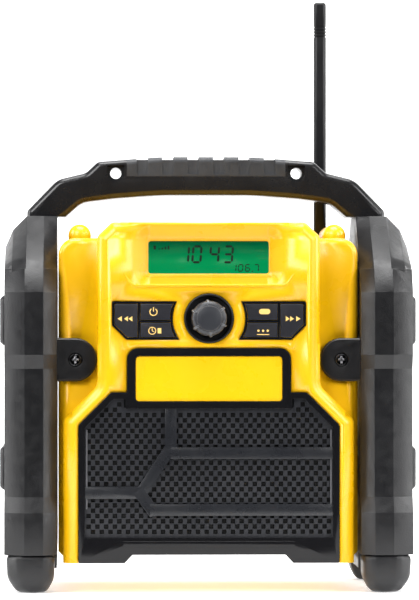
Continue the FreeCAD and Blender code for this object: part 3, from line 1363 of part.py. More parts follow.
# Sockets
def make_sockets():
    """The mains inlet under its rubber cap, and the coin cell under its turning cover."""
    spot = ("-socket_off", "socket_height")
    flange = rod("y", "rear_face", "rear_face + 1.2", spot, "dc_radius + 1.8")
    barrel = rod("y", "rear_face - 12", "rear_face + 0.5", spot, "dc_radius")
    inlet = cut(join(flange, barrel), rod("y", "rear_face - 10", "rear_face + 2", spot, "3.4"))
    centre_pin = rod("y", "rear_face - 11", "rear_face - 2.5", spot, "0.9")
    hinge_up = "socket_height + 11"
    ear_spot = ("rear_face + 3", hinge_up)
    ears = []
    for left, right in (("-socket_off - 4.5", "-socket_off - 2.3"),
                        ("-socket_off + 2.3", "-socket_off + 4.5")):
        ears.append(rod("x", left, right, ear_spot, "2"))
        ears.append(block((left, "rear_face", f"{hinge_up} - 2"),
                          (right, "rear_face + 3", f"{hinge_up} + 2")))
    plate = block(("-socket_off - 4.5", "rear_face", "socket_height + 6"),
                  ("-socket_off + 4.5", "rear_face + 0.8", f"{hinge_up} + 2"))
    axle = rod("x", "-socket_off - 4.5", "-socket_off + 4.5", ear_spot, "0.8")
    subpart("dc_socket", join(inlet, centre_pin, plate, *ears, axle))
    cap = rod("y", "rear_face + 1.6", "rear_face + 4", spot, "dc_radius + 2.4")
    plug = rod("y", "rear_face", "rear_face + 1.8", spot, "2.6")
    strap = block(("-socket_off - 2", "rear_face + 1.9", "socket_height + 6"),
                  ("-socket_off + 2", "rear_face + 4", hinge_up))
    eye = rod("x", "-socket_off - 2", "-socket_off + 2", ear_spot, "1.9")
    bore = rod("x", "-socket_off - 3", "-socket_off + 3", ear_spot, "0.8 + pin_fit")
    subpart("dc_cap", cut(join(cap, plug, strap, eye), bore))
    cell_spot = ("socket_off", "socket_height")
    cover = join(rod("y", "rear_face + 0.3", "rear_face + 2.3", cell_spot, "cell_radius + 3"),
                 rod("y", "rear_face - 2.8", "rear_face + 0.4", cell_spot, "cell_radius + 1.15"))
    slot = block(("socket_off - 8", "rear_face + 1.1", "socket_height - 1"),
                 ("socket_off + 8", "rear_face + 3", "socket_height + 1"))
    subpart("coin_cell_cover", cut(cover, slot))
    subpart("coin_cell", rod("y", "rear_face - 7.1", "rear_face - 3.9", cell_spot, "cell_radius"))


make_front_housing()
make_rear_housing()
make_housing_screws()
make_grille()
make_display()
make_keys()
make_knob()
make_boards()
make_speakers()
make_guards()
make_guard_trim()
make_handle()
make_antenna()
make_battery()
make_storage()
make_sockets()
doc.recompute()

for item in doc.Objects:
    if "Invalid" in item.State or "Error" in item.State:
        raise RuntimeError(f"{item.Name} ({item.Label}) failed: {item.State}")

os.makedirs("parts", exist_ok=True)
for label, thing in SUBPARTS.items():
    shape = thing.Shape
    if shape.isNull() or not shape.isValid() or not shape.Solids:
        raise RuntimeError(f"{label} has no valid solid")
    shape.exportStep(f"parts/{label}.step")
print(f"{len(SUBPARTS)} pieces written")
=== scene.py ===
"""The jobsite radio's finished surfaces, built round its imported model."""

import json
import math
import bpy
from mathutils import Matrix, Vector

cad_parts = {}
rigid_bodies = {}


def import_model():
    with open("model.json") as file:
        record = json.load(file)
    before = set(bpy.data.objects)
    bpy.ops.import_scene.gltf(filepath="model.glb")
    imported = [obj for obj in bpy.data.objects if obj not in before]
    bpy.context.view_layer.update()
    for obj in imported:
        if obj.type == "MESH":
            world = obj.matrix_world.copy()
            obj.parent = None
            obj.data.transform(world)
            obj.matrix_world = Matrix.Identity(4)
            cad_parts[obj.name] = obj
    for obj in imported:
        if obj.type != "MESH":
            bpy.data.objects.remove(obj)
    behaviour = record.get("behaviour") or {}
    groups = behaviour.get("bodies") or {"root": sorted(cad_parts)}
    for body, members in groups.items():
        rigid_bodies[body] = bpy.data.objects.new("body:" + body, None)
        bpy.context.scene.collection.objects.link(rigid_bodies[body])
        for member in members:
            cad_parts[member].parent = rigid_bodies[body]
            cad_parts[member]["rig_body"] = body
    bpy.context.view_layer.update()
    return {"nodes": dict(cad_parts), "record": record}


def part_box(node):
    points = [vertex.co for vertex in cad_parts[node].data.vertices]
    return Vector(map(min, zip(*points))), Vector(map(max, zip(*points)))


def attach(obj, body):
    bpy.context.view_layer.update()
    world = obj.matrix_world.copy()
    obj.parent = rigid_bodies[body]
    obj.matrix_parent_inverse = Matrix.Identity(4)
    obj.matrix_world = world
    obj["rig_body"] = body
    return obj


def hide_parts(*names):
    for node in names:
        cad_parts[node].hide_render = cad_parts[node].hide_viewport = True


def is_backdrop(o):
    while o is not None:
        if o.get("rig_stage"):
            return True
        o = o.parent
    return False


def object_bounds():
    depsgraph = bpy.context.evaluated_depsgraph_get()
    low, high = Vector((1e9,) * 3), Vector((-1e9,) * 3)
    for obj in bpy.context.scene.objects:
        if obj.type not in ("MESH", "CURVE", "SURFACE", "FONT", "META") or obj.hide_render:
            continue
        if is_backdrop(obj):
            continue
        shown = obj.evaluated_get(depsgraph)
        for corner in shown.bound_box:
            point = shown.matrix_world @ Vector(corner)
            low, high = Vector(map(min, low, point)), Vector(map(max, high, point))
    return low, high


bl_info = {
    "name": "Jobsite radio finish",
    "version": (1, 0, 0),
    "blender": (4, 5, 0),
    "location": "View3D > Sidebar > Radio",
    "description": "Builds the visible surfaces of a jobsite radio round its packed model",
    "category": "Object",
}

import bmesh
import bpy
from bpy.props import FloatProperty, FloatVectorProperty, PointerProperty
from mathutils import Matrix, Vector

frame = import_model()
NODES = frame["nodes"]
SLOTS = {row["node"]: row["material_slot"] for row in frame["record"]["subparts"]}
MM = 0.001
WELD = 1e-6


# Settings that a user would change
class RadioSizes(bpy.types.PropertyGroup):
    """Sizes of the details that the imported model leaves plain."""

    hole_pitch: FloatProperty(
        name="Hole pitch", description="Distance between holes in a row of the grille",
        default=0.0056, unit="LENGTH")
    row_pitch: FloatProperty(
        name="Row pitch", description="Distance between rows of the grille",
        default=0.0034, unit="LENGTH")
    hole_side: FloatProperty(name="Hole", description="Width of a grille hole", default=0.0029, unit="LENGTH")
    sheet_thick: FloatProperty(
        name="Sheet", description="Thickness of the perforated sheet",
        default=0.0014, unit="LENGTH")
    shell_edge: FloatProperty(
        name="Shell edge", description="Rounding of the yellow shell's edges",
        default=0.0007, unit="LENGTH")
    guard_edge: FloatProperty(
        name="Guard edge", description="Rounding of the guards' edges",
        default=0.0018, unit="LENGTH")
    camera_distance: FloatProperty(
        name="Camera distance", description="From the panel's face to the camera",
        default=2.6, unit="LENGTH")


class RadioColours(bpy.types.PropertyGroup):
    """Colours of the radio's finishes."""

    yellow: FloatVectorProperty(
        name="Yellow", description="Yellow moulded shell", subtype="COLOR",
        default=(0.97, 0.52, 0.002))
    black: FloatVectorProperty(
        name="Black", description="Black moulded guards", subtype="COLOR",
        default=(0.008, 0.008, 0.009))
    panel_black: FloatVectorProperty(
        name="Key black", description="Keys and frames", subtype="COLOR",
        default=(0.022, 0.022, 0.027))
    print_cream: FloatVectorProperty(
        name="Print", description="Printed symbols", subtype="COLOR",
        default=(1.0, 0.66, 0.2))
    screen_low: FloatVectorProperty(
        name="Screen", description="Lit display", subtype="COLOR",
        default=(0.0, 0.34, 0.1))
    # Painted shadow: the darker green at the top of the display stands for the shade under the recess's upper
    # edge.
    screen_painted_shade: FloatVectorProperty(
        name="Screen top", description="Shaded top of the display",
        subtype="COLOR", default=(0.0, 0.09, 0.035))
    floor: FloatVectorProperty(
        name="Floor", description="Floor and backdrop", subtype="COLOR",
        default=(0.86, 0.86, 0.86))


def sizes():
    """The sizes that are set now."""
    return bpy.context.scene.radio_sizes


def colours():
    """The colours that are set now."""
    return bpy.context.scene.radio_colours


# Nodes of materials and of geometry trees
def feed(tree, node, inputs):
    """Sets a node's inputs, each to a value, or wired to a socket or to a list of sockets."""
    for name, value in inputs.items():
        for source in value if isinstance(value, list) else [value]:
            if isinstance(source, bpy.types.NodeSocket):
                tree.links.new(source, node.inputs[name])
            else:
                node.inputs[name].default_value = source
    return node


def add_node(tree, kind, inputs=None, **settings):
    """A new node with its settings and inputs."""
    node = tree.nodes.new(kind)
    for name, value in settings.items():
        setattr(node, name, value)
    return feed(tree, node, inputs or {})


# Materials
GRAIN_HEIGHT = 0.0002
PEBBLE_HEIGHT = 0.00014
METAL_GRAIN = 400.0
EDGE_SAMPLES = 4


def new_material(name):
    """A material with its shader, ready for nodes."""
    material = bpy.data.materials.new(name)
    material.use_nodes = True
    tree = material.node_tree
    return material, tree, tree.nodes["Principled BSDF"]


def object_coordinates(tree):
    """Places in a piece's own coordinates, in metres."""
    return tree.nodes.new("ShaderNodeTexCoord").outputs["Object"]


def noise(tree, scale, detail=3.0):
    """A noise pattern in the piece's own coordinates."""
    inputs = {"Scale": scale, "Detail": detail, "Vector": object_coordinates(tree)}
    return add_node(tree, "ShaderNodeTexNoise", inputs).outputs["Fac"]


def toned(value):
    """A colour with full cover, from three channels or from one grey."""
    return (*value, 1) if hasattr(value, "__len__") else (value, value, value, 1)


def ramp(tree, source, low, high, start=0.0, end=1.0):
    """A colour or grey ramp between two values."""
    node = add_node(tree, "ShaderNodeValToRGB", {"Fac": source})
    for element, position, value in zip(node.color_ramp.elements, (start, end), (low, high)):
        element.position = position
        element.color = toned(value)
    return node.outputs["Color"]


def patchy(tree, scale, low, high, detail=3.0):
    """A soft pattern of patches between two values."""
    return ramp(tree, noise(tree, scale, detail), low, high, 0.3, 0.7)


def shaded(colour, factor):
    """A colour made darker or lighter."""
    return [min(1.0, channel * factor) for channel in colour]


def bump(tree, height, strength, distance):
    """A node that lifts a surface by a pattern."""
    return add_node(tree, "ShaderNodeBump", {"Strength": strength, "Distance": distance, "Height": height})


def soften_edges(tree, normal, radius):
    """Rounds a material's sharp edges to the eye, under its grain."""
    if radius:
        rounding = add_node(tree, "ShaderNodeBevel", {"Radius": radius}, samples=EDGE_SAMPLES)
        tree.links.new(rounding.outputs["Normal"], normal)


def moulded(name, colour, roughness, grain=900.0, depth=0.15, spread=0.12, specular=0.5, coat=0.0,
            rounding=0.0):
    """Moulded plastic or rubber: a fine grain, and a slight unevenness of shade and gloss."""
    material, tree, shader = new_material(name)
    fine = bump(tree, noise(tree, grain, 2.0), depth, GRAIN_HEIGHT)
    soften_edges(tree, fine.inputs["Normal"], rounding)
    feed(tree, shader, {
        "Base Color": patchy(tree, 14.0, shaded(colour, 1 - spread), shaded(colour, 1 + spread / 2), 4.0),
        "Roughness": patchy(tree, 60.0, roughness - 0.05, roughness + 0.06),
        "Normal": fine.outputs["Normal"],
        "Specular IOR Level": specular,
        "Coat Weight": coat,
        "Coat Roughness": 0.3,
    })
    return material


def leathery(name, colour, roughness, cell=1300.0, depth=0.5):
    """Black plastic with a pebbled, leather-like grain."""
    material, tree, shader = new_material(name)
    cells = add_node(tree, "ShaderNodeTexVoronoi", {"Scale": cell, "Vector": object_coordinates(tree)},
                     feature="SMOOTH_F1")
    pebbles = bump(tree, cells.outputs["Distance"], depth, PEBBLE_HEIGHT)
    feed(tree, shader, {
        "Base Color": patchy(tree, 22.0, shaded(colour, 0.75), shaded(colour, 1.35), 4.0),
        "Roughness": patchy(tree, 180.0, roughness - 0.06, roughness + 0.08),
        "Normal": pebbles.outputs["Normal"],
        "Specular IOR Level": 0.4,
    })
    return material


def metal(name, colour, roughness):
    """Plain metal with a fine brushed unevenness."""
    material, tree, shader = new_material(name)
    feed(tree, shader, {
        "Base Color": patchy(tree, METAL_GRAIN, shaded(colour, 0.85), colour),
        "Roughness": ramp(tree, noise(tree, METAL_GRAIN * 2), roughness - 0.06, roughness + 0.06),
        "Metallic": 1.0,
    })
    return material


def lit_screen(name):
    """The display's green glow, with a painted shadow that darkens it towards its upper edge."""
    material, tree, shader = new_material(name)
    low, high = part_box("display_module")
    split = add_node(tree, "ShaderNodeSeparateXYZ", {"Vector": object_coordinates(tree)})
    place = add_node(tree, "ShaderNodeMapRange", {
        "From Min": low.z, "From Max": high.z, "Value": split.outputs["Z"]})
    tone = colours()
    feed(tree, shader, {
        "Base Color": (0.0, 0.03, 0.01, 1),
        "Roughness": ramp(tree, noise(tree, 50.0), 0.25, 0.35),
        "Specular IOR Level": 0.1,
        # Painted shadow: the glow fades to the darker green towards the top.
        "Emission Color": ramp(tree, place.outputs["Result"], tone.screen_low, tone.screen_painted_shade, 0.42, 0.88),
        "Emission Strength": 0.9,
    })
    return material


def clear_window(name):
    """The lens: clear, with a faint reflection and the finest scratches."""
    material, tree, shader = new_material(name)
    feed(tree, shader, {
        "Base Color": (0.0, 0.01, 0.005, 1),
        "Roughness": ramp(tree, noise(tree, 300.0), 0.02, 0.06),
        "Alpha": 0.06,
    })
    return material


def dark_marks(name):
    """The display's dark segments."""
    material, tree, shader = new_material(name)
    feed(tree, shader, {
        "Base Color": ramp(tree, noise(tree, 200.0), (0.0, 0.012, 0.004), (0.0, 0.02, 0.008)),
        "Roughness": 0.5,
    })
    return material


def make_finishes():
    """Every finish, by name."""
    tone = colours()
    return {
        "yellow": moulded("yellow_moulding", tone.yellow, 0.3, grain=1500.0, depth=0.04, spread=0.03,
                          coat=0.28, rounding=sizes().shell_edge),
        "yellow_plate": moulded("yellow_badge", [0.97, 0.54, 0.002], 0.28, depth=0.04, spread=0.03, coat=0.3),
        "guard": leathery("grained_black", tone.black, 0.34),
        "grip": leathery("soft_grip", [0.03, 0.032, 0.036], 0.42, 1600.0, 0.4),
        "rubber": leathery("foot_rubber", tone.black, 0.4, 1500.0, 0.4),
        "gloss_black": moulded("glossy_black", [0.006, 0.006, 0.007], 0.14, depth=0.03, specular=0.3),
        "grille": moulded("grille_black", [0.012, 0.013, 0.016], 0.28, grain=1200.0, depth=0.08),
        "sheet": moulded("perforated_black", [0.02, 0.021, 0.025], 0.34, grain=1500.0, depth=0.06),
        "key": moulded("key_black", tone.panel_black, 0.36, grain=1200.0, depth=0.06, specular=0.35),
        "knob": moulded("knob_black", [0.03, 0.032, 0.038], 0.38, grain=1200.0, depth=0.12),
        # Painted shade: a black liner for the recess round the knob, which lies in shade.
        "well": moulded("well_black", tone.black, 0.35, depth=0.1),
        "fitting": moulded("fitting_black", [0.018, 0.018, 0.02], 0.45, grain=1100.0, depth=0.2),
        "antenna": moulded("antenna_black", tone.black, 0.34, depth=0.06, specular=0.35),
        "print": moulded("printed_cream", tone.print_cream, 0.5, depth=0.02, spread=0.05),
        "screen": lit_screen("screen_green"),
        "lens": clear_window("clear_lens"),
        "marks": dark_marks("screen_marks"),
        "gloss_satin": moulded("handle_black", [0.01, 0.01, 0.011], 0.26, grain=900.0, depth=0.1),
        # Painted highlight: a light grey for strips where the grille frame's inner bevels catch the light.
        "grey_strip": moulded("grey_strip", [0.1, 0.1, 0.11], 0.4, depth=0.05),
        # Painted highlight: the knob's ribs are a lighter grey than the knob itself.
        "painted_rib_highlight": moulded("knob_ribs", [0.07, 0.073, 0.08], 0.25, depth=0.05, coat=0.2),
        "cloth": leathery("speaker_cloth", [0.004, 0.004, 0.004], 0.9, 1500.0, 0.5),
        "steel": metal("zinc_steel", [0.62, 0.62, 0.64], 0.32),
        "dark_steel": metal("dark_steel", [0.2, 0.2, 0.21], 0.35),
        "tin": metal("tinned_case", [0.6, 0.6, 0.6], 0.4),
        "aluminium": metal("milled_aluminium", [0.78, 0.78, 0.8], 0.35),
        "board": moulded("lacquered_board", [0.01, 0.16, 0.05], 0.35, grain=500.0, depth=0.1),
        "paper": moulded("cone_paper", [0.02, 0.02, 0.02], 0.8, grain=600.0, depth=0.4),
        "ferrite": moulded("ferrite", [0.05, 0.05, 0.05], 0.7, grain=500.0, depth=0.3),
        "wrap": moulded("cell_wrap", [0.05, 0.22, 0.5], 0.3, depth=0.05),
    }


# Filled when the finishes are made
FINISHES = {}

# The finish of each of the record's material slots
SLOT_FINISH = {
    "yellow_shell": "yellow", "yellow_plate": "yellow_plate", "grille_black": "grille", "clear_lens": "lens",
    "display_green": "screen", "key_black": "key", "knob_black": "knob", "steel": "steel",
    "metal_case": "tin", "board_green": "board", "switch_black": "fitting", "aluminium_fins": "aluminium",
    "cone_paper": "paper", "magnet_iron": "ferrite", "guard_black": "guard", "rubber_black": "rubber",
    "antenna_rubber": "antenna", "fitting_black": "fitting", "release_yellow": "yellow", "cell_wrap": "wrap",
}


# Meshes, with every angle in degrees
BEVEL_BLEND = 30.0
FLAT = 0.4
UNION_FLAT = 0.3


def opened(mesh, reach=WELD):
    """A mesh for editing, with its doubled points merged."""
    work = bmesh.new()
    work.from_mesh(mesh)
    bmesh.ops.remove_doubles(work, verts=work.verts, dist=reach)
    return work


def flatten(work, angle):
    """Merges faces that lie flat beside each other."""
    bmesh.ops.dissolve_limit(work, angle_limit=math.radians(angle), verts=work.verts, edges=work.edges)


def closed(work, mesh):
    """Writes an edited mesh."""
    work.to_mesh(mesh)
    work.free()
    return mesh


def seat(piece, node, finish=None, replace=True):
    """Gives a piece its finish, by default the one for the node's material slot, and lets it ride with the
    node's body.
    """
    finish = finish or SLOT_FINISH[SLOTS[node]]
    piece.data.materials.clear()
    piece.data.materials.append(FINISHES[finish])
    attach(piece, NODES[node]["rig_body"])
    if replace:
        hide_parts(node)
    return piece


def link(name, mesh):
    """A new object for a mesh, a curve, a light or the camera."""
    piece = bpy.data.objects.new(name, mesh)
    bpy.context.scene.collection.objects.link(piece)
    return piece


def settle(piece):
    """Turns a piece's modifiers or curve into a plain mesh at the origin."""
    bpy.context.view_layer.update()
    graph = bpy.context.evaluated_depsgraph_get()
    mesh = bpy.data.meshes.new_from_object(piece.evaluated_get(graph), depsgraph=graph)
    mesh.transform(piece.matrix_world)
    name = piece.name
    bpy.data.objects.remove(piece)
    mesh.name = name
    return link(name, mesh)


def smooth(piece, angle=35.0):
    """Smooth shading, with edges sharper than the angle kept crisp."""
    for face in piece.data.polygons:
        face.use_smooth = True
    piece.data.set_sharp_from_angle(angle=math.radians(angle))
    return piece


def bevelled(piece, width, segments, angle):
    """Rounds the edges of a closed piece that turn by more than the angle."""
    bevel = piece.modifiers.new("Edges", "BEVEL")
    bevel.width = width
    bevel.segments = segments
    bevel.limit_method = "ANGLE"
    bevel.angle_limit = math.radians(angle)
    return smooth(settle(piece), BEVEL_BLEND)


def dressed(node, edge=0.0, finish=None, segments=2, angle=32.0, blend=40.0):
    """A node's own shape with softened edges and smooth shading, in the node's place."""
    mesh = NODES[node].data.copy()
    work = opened(mesh, 2 * WELD)
    if edge:
        flatten(work, FLAT)
    piece = link(node + "_finish", closed(work, mesh))
    piece = bevelled(piece, edge, segments, angle) if edge else smooth(piece, blend)
    return seat(piece, node, finish)


def rounded(corners, steps=6):
    """Points along an outline whose corners are (x, z) or (x, z, radius), in millimetres."""
    count = len(corners)
    path = []
    for index, corner in enumerate(corners):
        spot = Vector(corner[:2])
        radius = corner[2] if len(corner) > 2 else 0
        if not radius:
            path.append(spot)
            continue
        back = (Vector(corners[index - 1][:2]) - spot).normalized()
        ahead = (Vector(corners[(index + 1) % count][:2]) - spot).normalized()
        half = back.angle(ahead) / 2
        reach = radius / math.tan(half)
        centre = spot + (back + ahead).normalized() * (radius / math.sin(half))
        start = spot + back * reach - centre
        turn = (spot + ahead * reach - centre).angle_signed(start)
        for step in range(steps + 1):
            swing = turn * step / steps
            path.append(centre + Vector((start.x * math.cos(swing) - start.y * math.sin(swing),
                                         start.x * math.sin(swing) + start.y * math.cos(swing))))
    return path


def both_sides(half):
    """A whole outline from its right half, given from the bottom upwards."""
    return list(half) + [(-corner[0], *corner[1:]) for corner in reversed(half)]


def circle(x, z, radius, count=48):
    """Points round a circle, in millimetres."""
    return [Vector((point[0], point[2])) for point in ring(0, radius, x, z, count)]


def upright(y):
    """Stands a flat drawing up at a depth in millimetres, facing the front."""
    return Matrix.Translation((0, y * MM, 0)) @ Matrix.Rotation(math.pi / 2, 4, "X")


def outline(curve, path):
    """Adds a closed outline in millimetres to a curve."""
    spline = curve.splines.new("POLY")
    spline.points.add(len(path) - 1)
    for point, spot in zip(spline.points, path):
        point.co = (spot[0] * MM, spot[1] * MM, 0, 1)
    spline.use_cyclic_u = True


def plate(name, loops, front, back, edge=0.0, edge_steps=2):
    """A flat plate facing the front, with holes at its inner loops and rounded front and back edges."""
    curve = bpy.data.curves.new(name, "CURVE")
    curve.dimensions = "2D"
    curve.fill_mode = "BOTH"
    for loop in loops:
        outline(curve, loop)
    curve.extrude = max(0.0, ((back - front) / 2 - edge) * MM)
    curve.bevel_depth = edge * MM
    curve.bevel_resolution = edge_steps
    curve.offset = -edge * MM
    piece = link(name, curve)
    piece.matrix_world = upright((front + back) / 2)
    return smooth(weld(settle(piece)))


def weld(piece):
    """Merges a mesh's doubled points and turns its faces outwards."""
    work = opened(piece.data)
    bmesh.ops.recalc_face_normals(work, faces=work.faces)
    closed(work, piece.data)
    return piece


def merged(name, pieces):
    """One mesh from several pieces."""
    work = bmesh.new()
    for piece in pieces:
        work.from_mesh(piece.data)
        bpy.data.objects.remove(piece)
    return smooth(link(name, closed(work, bpy.data.meshes.new(name))))


def lofted(name, rings):
    """A closed mesh through rings of points in millimetres, all with the same count, capped at both ends."""
    work = bmesh.new()
    rows = [[work.verts.new(Vector(spot) * MM) for spot in ring] for ring in rings]
    count = len(rows[0])
    for first, second in zip(rows, rows[1:]):
        for step in range(count):
            after = (step + 1) % count
            work.faces.new((first[step], first[after], second[after], second[step]))
    work.faces.new(rows[0])
    work.faces.new(rows[-1])
    bmesh.ops.recalc_face_normals(work, faces=work.faces)
    return smooth(link(name, closed(work, bpy.data.meshes.new(name))))


def united(name, pieces):
    """One solid from several overlapping ones."""
    base = pieces[0]
    for other in pieces[1:]:
        union = base.modifiers.new("Union", "BOOLEAN")
        union.operation = "UNION"
        union.solver = "EXACT"
        union.object = other
    base.name = name
    solid = settle(base)
    for other in pieces[1:]:
        bpy.data.objects.remove(other)
    work = opened(solid.data)
    flatten(work, UNION_FLAT)
    closed(work, solid.data)
    return solid


# Geometry node trees
def new_tree(name, inputs):
    """An empty geometry tree with named inputs and one geometry output."""
    tree = bpy.data.node_groups.new(name, "GeometryNodeTree")
    tree.interface.new_socket("Geometry", in_out="INPUT", socket_type="NodeSocketGeometry")
    for label, kind in inputs.items():
        tree.interface.new_socket(label, in_out="INPUT", socket_type=kind)
    tree.interface.new_socket("Geometry", in_out="OUTPUT", socket_type="NodeSocketGeometry")
    return tree, tree.nodes.new("NodeGroupInput"), tree.nodes.new("NodeGroupOutput")


def finish_tree(tree, geometry, given, result):
    """Ends a tree with real meshes in one material."""
    real = add_node(tree, "GeometryNodeRealizeInstances", {"Geometry": geometry})
    finish = add_node(tree, "GeometryNodeSetMaterial", {
        "Geometry": real.outputs["Geometry"], "Material": given.outputs["Finish"]})
    feed(tree, result, {"Geometry": finish.outputs["Geometry"]})
    return tree


def math_node(tree, operation, first, second):
    """The result of an operation on two values or sockets."""
    return add_node(tree, "ShaderNodeMath", {0: first, 1: second}, operation=operation).outputs[0]


def repeat_tree():
    """Copies an object to every point, turned by the points' own angles, in one material."""
    tree, given, result = new_tree("Repeat", {
        "Copied piece": "NodeSocketObject", "Finish": "NodeSocketMaterial"})
    info = add_node(tree, "GeometryNodeObjectInfo", {"Object": given.outputs["Copied piece"]},
                    transform_space="RELATIVE")
    turn = add_node(tree, "GeometryNodeInputNamedAttribute", {"Name": "turn"}, data_type="FLOAT_VECTOR")
    angles = add_node(tree, "FunctionNodeEulerToRotation", {"Euler": turn.outputs["Attribute"]})
    copied = add_node(tree, "GeometryNodeInstanceOnPoints", {
        "Points": given.outputs["Geometry"],
        "Instance": info.outputs["Geometry"],
        "Rotation": angles.outputs["Rotation"],
    })
    return finish_tree(tree, copied.outputs["Instances"], given, result)


def staggered_points(tree, given):
    """Points in rows over the outline's box, every other row moved along by half a pitch."""
    box = add_node(tree, "GeometryNodeBoundBox", {"Geometry": given.outputs["Geometry"]})
    low = add_node(tree, "ShaderNodeSeparateXYZ", {"Vector": box.outputs["Min"]})
    high = add_node(tree, "ShaderNodeSeparateXYZ", {"Vector": box.outputs["Max"]})
    spread = {}
    for axis, label in (("X", "Hole pitch"), ("Y", "Row pitch")):
        pitch = given.outputs[label]
        span = math_node(tree, "SUBTRACT", high.outputs[axis], low.outputs[axis])
        count = math_node(tree, "FLOOR", math_node(tree, "DIVIDE", span, pitch), 0)
        spread["Size " + axis] = math_node(tree, "MULTIPLY", count, pitch)
        spread["Vertices " + axis] = math_node(tree, "ADD", count, 1)
    grid = add_node(tree, "GeometryNodeMeshGrid", spread)
    points = add_node(tree, "GeometryNodeMeshToPoints", {"Mesh": grid.outputs["Mesh"]})
    index = tree.nodes.new("GeometryNodeInputIndex").outputs["Index"]
    row = math_node(tree, "MODULO", index, spread["Vertices Y"])
    odd = math_node(tree, "MODULO", math_node(tree, "FLOOR", row, 0), 2)
    half = math_node(tree, "MULTIPLY", given.outputs["Hole pitch"], 0.5)
    quarter = math_node(tree, "MULTIPLY", given.outputs["Hole pitch"], 0.25)
    both_ends = math_node(tree, "ADD", low.outputs["Y"], high.outputs["Y"])
    shift = add_node(tree, "ShaderNodeCombineXYZ", {
        "X": math_node(tree, "SUBTRACT", math_node(tree, "MULTIPLY", odd, half), quarter),
        "Y": math_node(tree, "MULTIPLY", both_ends, 0.5),
    })
    staggered = add_node(tree, "GeometryNodeSetPosition", {
        "Geometry": points.outputs["Points"], "Offset": shift.outputs["Vector"]})
    return staggered.outputs["Geometry"]


def points_inside(tree, given, points):
    """The points that lie inside the outline and clear of its border."""
    outline = given.outputs["Geometry"]
    filled = add_node(tree, "GeometryNodeFillCurve", {"Curve": outline}, mode="NGONS")
    position = tree.nodes.new("GeometryNodeInputPosition").outputs["Position"]
    above = add_node(tree, "ShaderNodeVectorMath", {0: position, 1: (0, 0, 0.01)}, operation="ADD")
    ray = add_node(tree, "GeometryNodeRaycast", {
        "Target Geometry": filled.outputs["Mesh"],
        "Source Position": above.outputs["Vector"],
        "Ray Direction": (0, 0, -1),
    })
    outside = add_node(tree, "FunctionNodeBooleanMath", {0: ray.outputs["Is Hit"]}, operation="NOT")
    rim = add_node(tree, "GeometryNodeCurveToMesh", {"Curve": outline})
    gap = add_node(tree, "GeometryNodeProximity", {"Geometry": rim.outputs["Mesh"]},
                   target_element="EDGES")
    close = add_node(tree, "FunctionNodeCompare", {
        "A": gap.outputs["Distance"], "B": given.outputs["Border"]},
        data_type="FLOAT", operation="LESS_THAN")
    unwanted = add_node(tree, "FunctionNodeBooleanMath", {
        0: close.outputs["Result"], 1: outside.outputs["Boolean"]}, operation="OR")
    kept = add_node(tree, "GeometryNodeDeleteGeometry", {
        "Geometry": points, "Selection": unwanted.outputs["Boolean"]}, domain="POINT")
    return kept.outputs["Geometry"]


def perforated_tree():
    """Turns a flat outline into a sheet with staggered rows of square holes."""
    measures = ("Hole pitch", "Row pitch", "Hole side", "Border", "Thickness")
    inputs = {label: "NodeSocketFloat" for label in measures}
    tree, given, result = new_tree("Perforated sheet", {**inputs, "Finish": "NodeSocketMaterial"})
    points = points_inside(tree, given, staggered_points(tree, given))
    side = given.outputs["Hole side"]
    hole = add_node(tree, "GeometryNodeCurvePrimitiveQuadrilateral", {"Width": side, "Height": side})
    holes = add_node(tree, "GeometryNodeInstanceOnPoints", {
        "Points": points, "Instance": hole.outputs["Curve"]})
    loops = add_node(tree, "GeometryNodeJoinGeometry", {
        "Geometry": [holes.outputs["Instances"], given.outputs["Geometry"]]})
    real_loops = add_node(tree, "GeometryNodeRealizeInstances", {"Geometry": loops.outputs["Geometry"]})
    face = add_node(tree, "GeometryNodeFillCurve", {"Curve": real_loops.outputs["Geometry"]},
                    mode="TRIANGLES")
    thick = add_node(tree, "GeometryNodeExtrudeMesh", {
        "Mesh": face.outputs["Mesh"],
        "Offset Scale": given.outputs["Thickness"],
        "Individual": False,
    }, mode="FACES")
    back = add_node(tree, "GeometryNodeFlipFaces", {"Mesh": face.outputs["Mesh"]})
    both = add_node(tree, "GeometryNodeJoinGeometry", {
        "Geometry": [back.outputs["Mesh"], thick.outputs["Mesh"]]})
    sealed = add_node(tree, "GeometryNodeMergeByDistance", {
        "Geometry": both.outputs["Geometry"], "Distance": WELD})
    return finish_tree(tree, sealed.outputs["Geometry"], given, result)


def apply_tree(piece, tree, values):
    """Runs a geometry tree on a piece with named values and leaves a plain mesh."""
    modifier = piece.modifiers.new("Nodes", "NODES")
    modifier.node_group = tree
    for item in tree.interface.items_tree:
        if item.in_out == "INPUT" and item.name in values:
            modifier[item.identifier] = values[item.name]
    return settle(piece)


def copies(name, pattern, places, finish):
    """Copies of a pattern piece at (place, turn) pairs, as one mesh; the pattern is used up."""
    mesh = bpy.data.meshes.new(name)
    mesh.from_pydata([Vector(place) * MM for place, _ in places], [], [])
    turns = mesh.attributes.new("turn", "FLOAT_VECTOR", "POINT")
    for entry, (_, turn) in zip(turns.data, places):
        entry.vector = turn
    piece = apply_tree(link(name, mesh), repeat_tree(), {"Copied piece": pattern, "Finish": FINISHES[finish]})
    bpy.data.objects.remove(pattern)
    return smooth(piece)


# Measures shared by the front pieces, in millimetres
PANEL_FACE = -76.0
KNOB_HEIGHT = 175.2
KNOB_FRONT = -85.6
SCREEN_FACE = -63.4
BAR_WIDTH = 7.4
STRIP_PLACE = 78.4
KEY_MIDDLE = 175.0


def rectangle(left, right, low, high, radius=0.0, steps=5):
    """An upright rectangle with rounded corners."""
    corners = ((left, low), (right, low), (right, high), (left, high))
    return rounded([(*corner, radius) for corner in corners], steps)


def ring(y, radius_at, x=0.0, z=0.0, count=96):
    """Points round an axis facing the front, with a radius that may change round the ring."""
    points = []
    for step in range(count):
        angle = math.tau * step / count
        radius = radius_at(angle) if callable(radius_at) else radius_at
        points.append((x + radius * math.cos(angle), y, z + radius * math.sin(angle)))
    return points


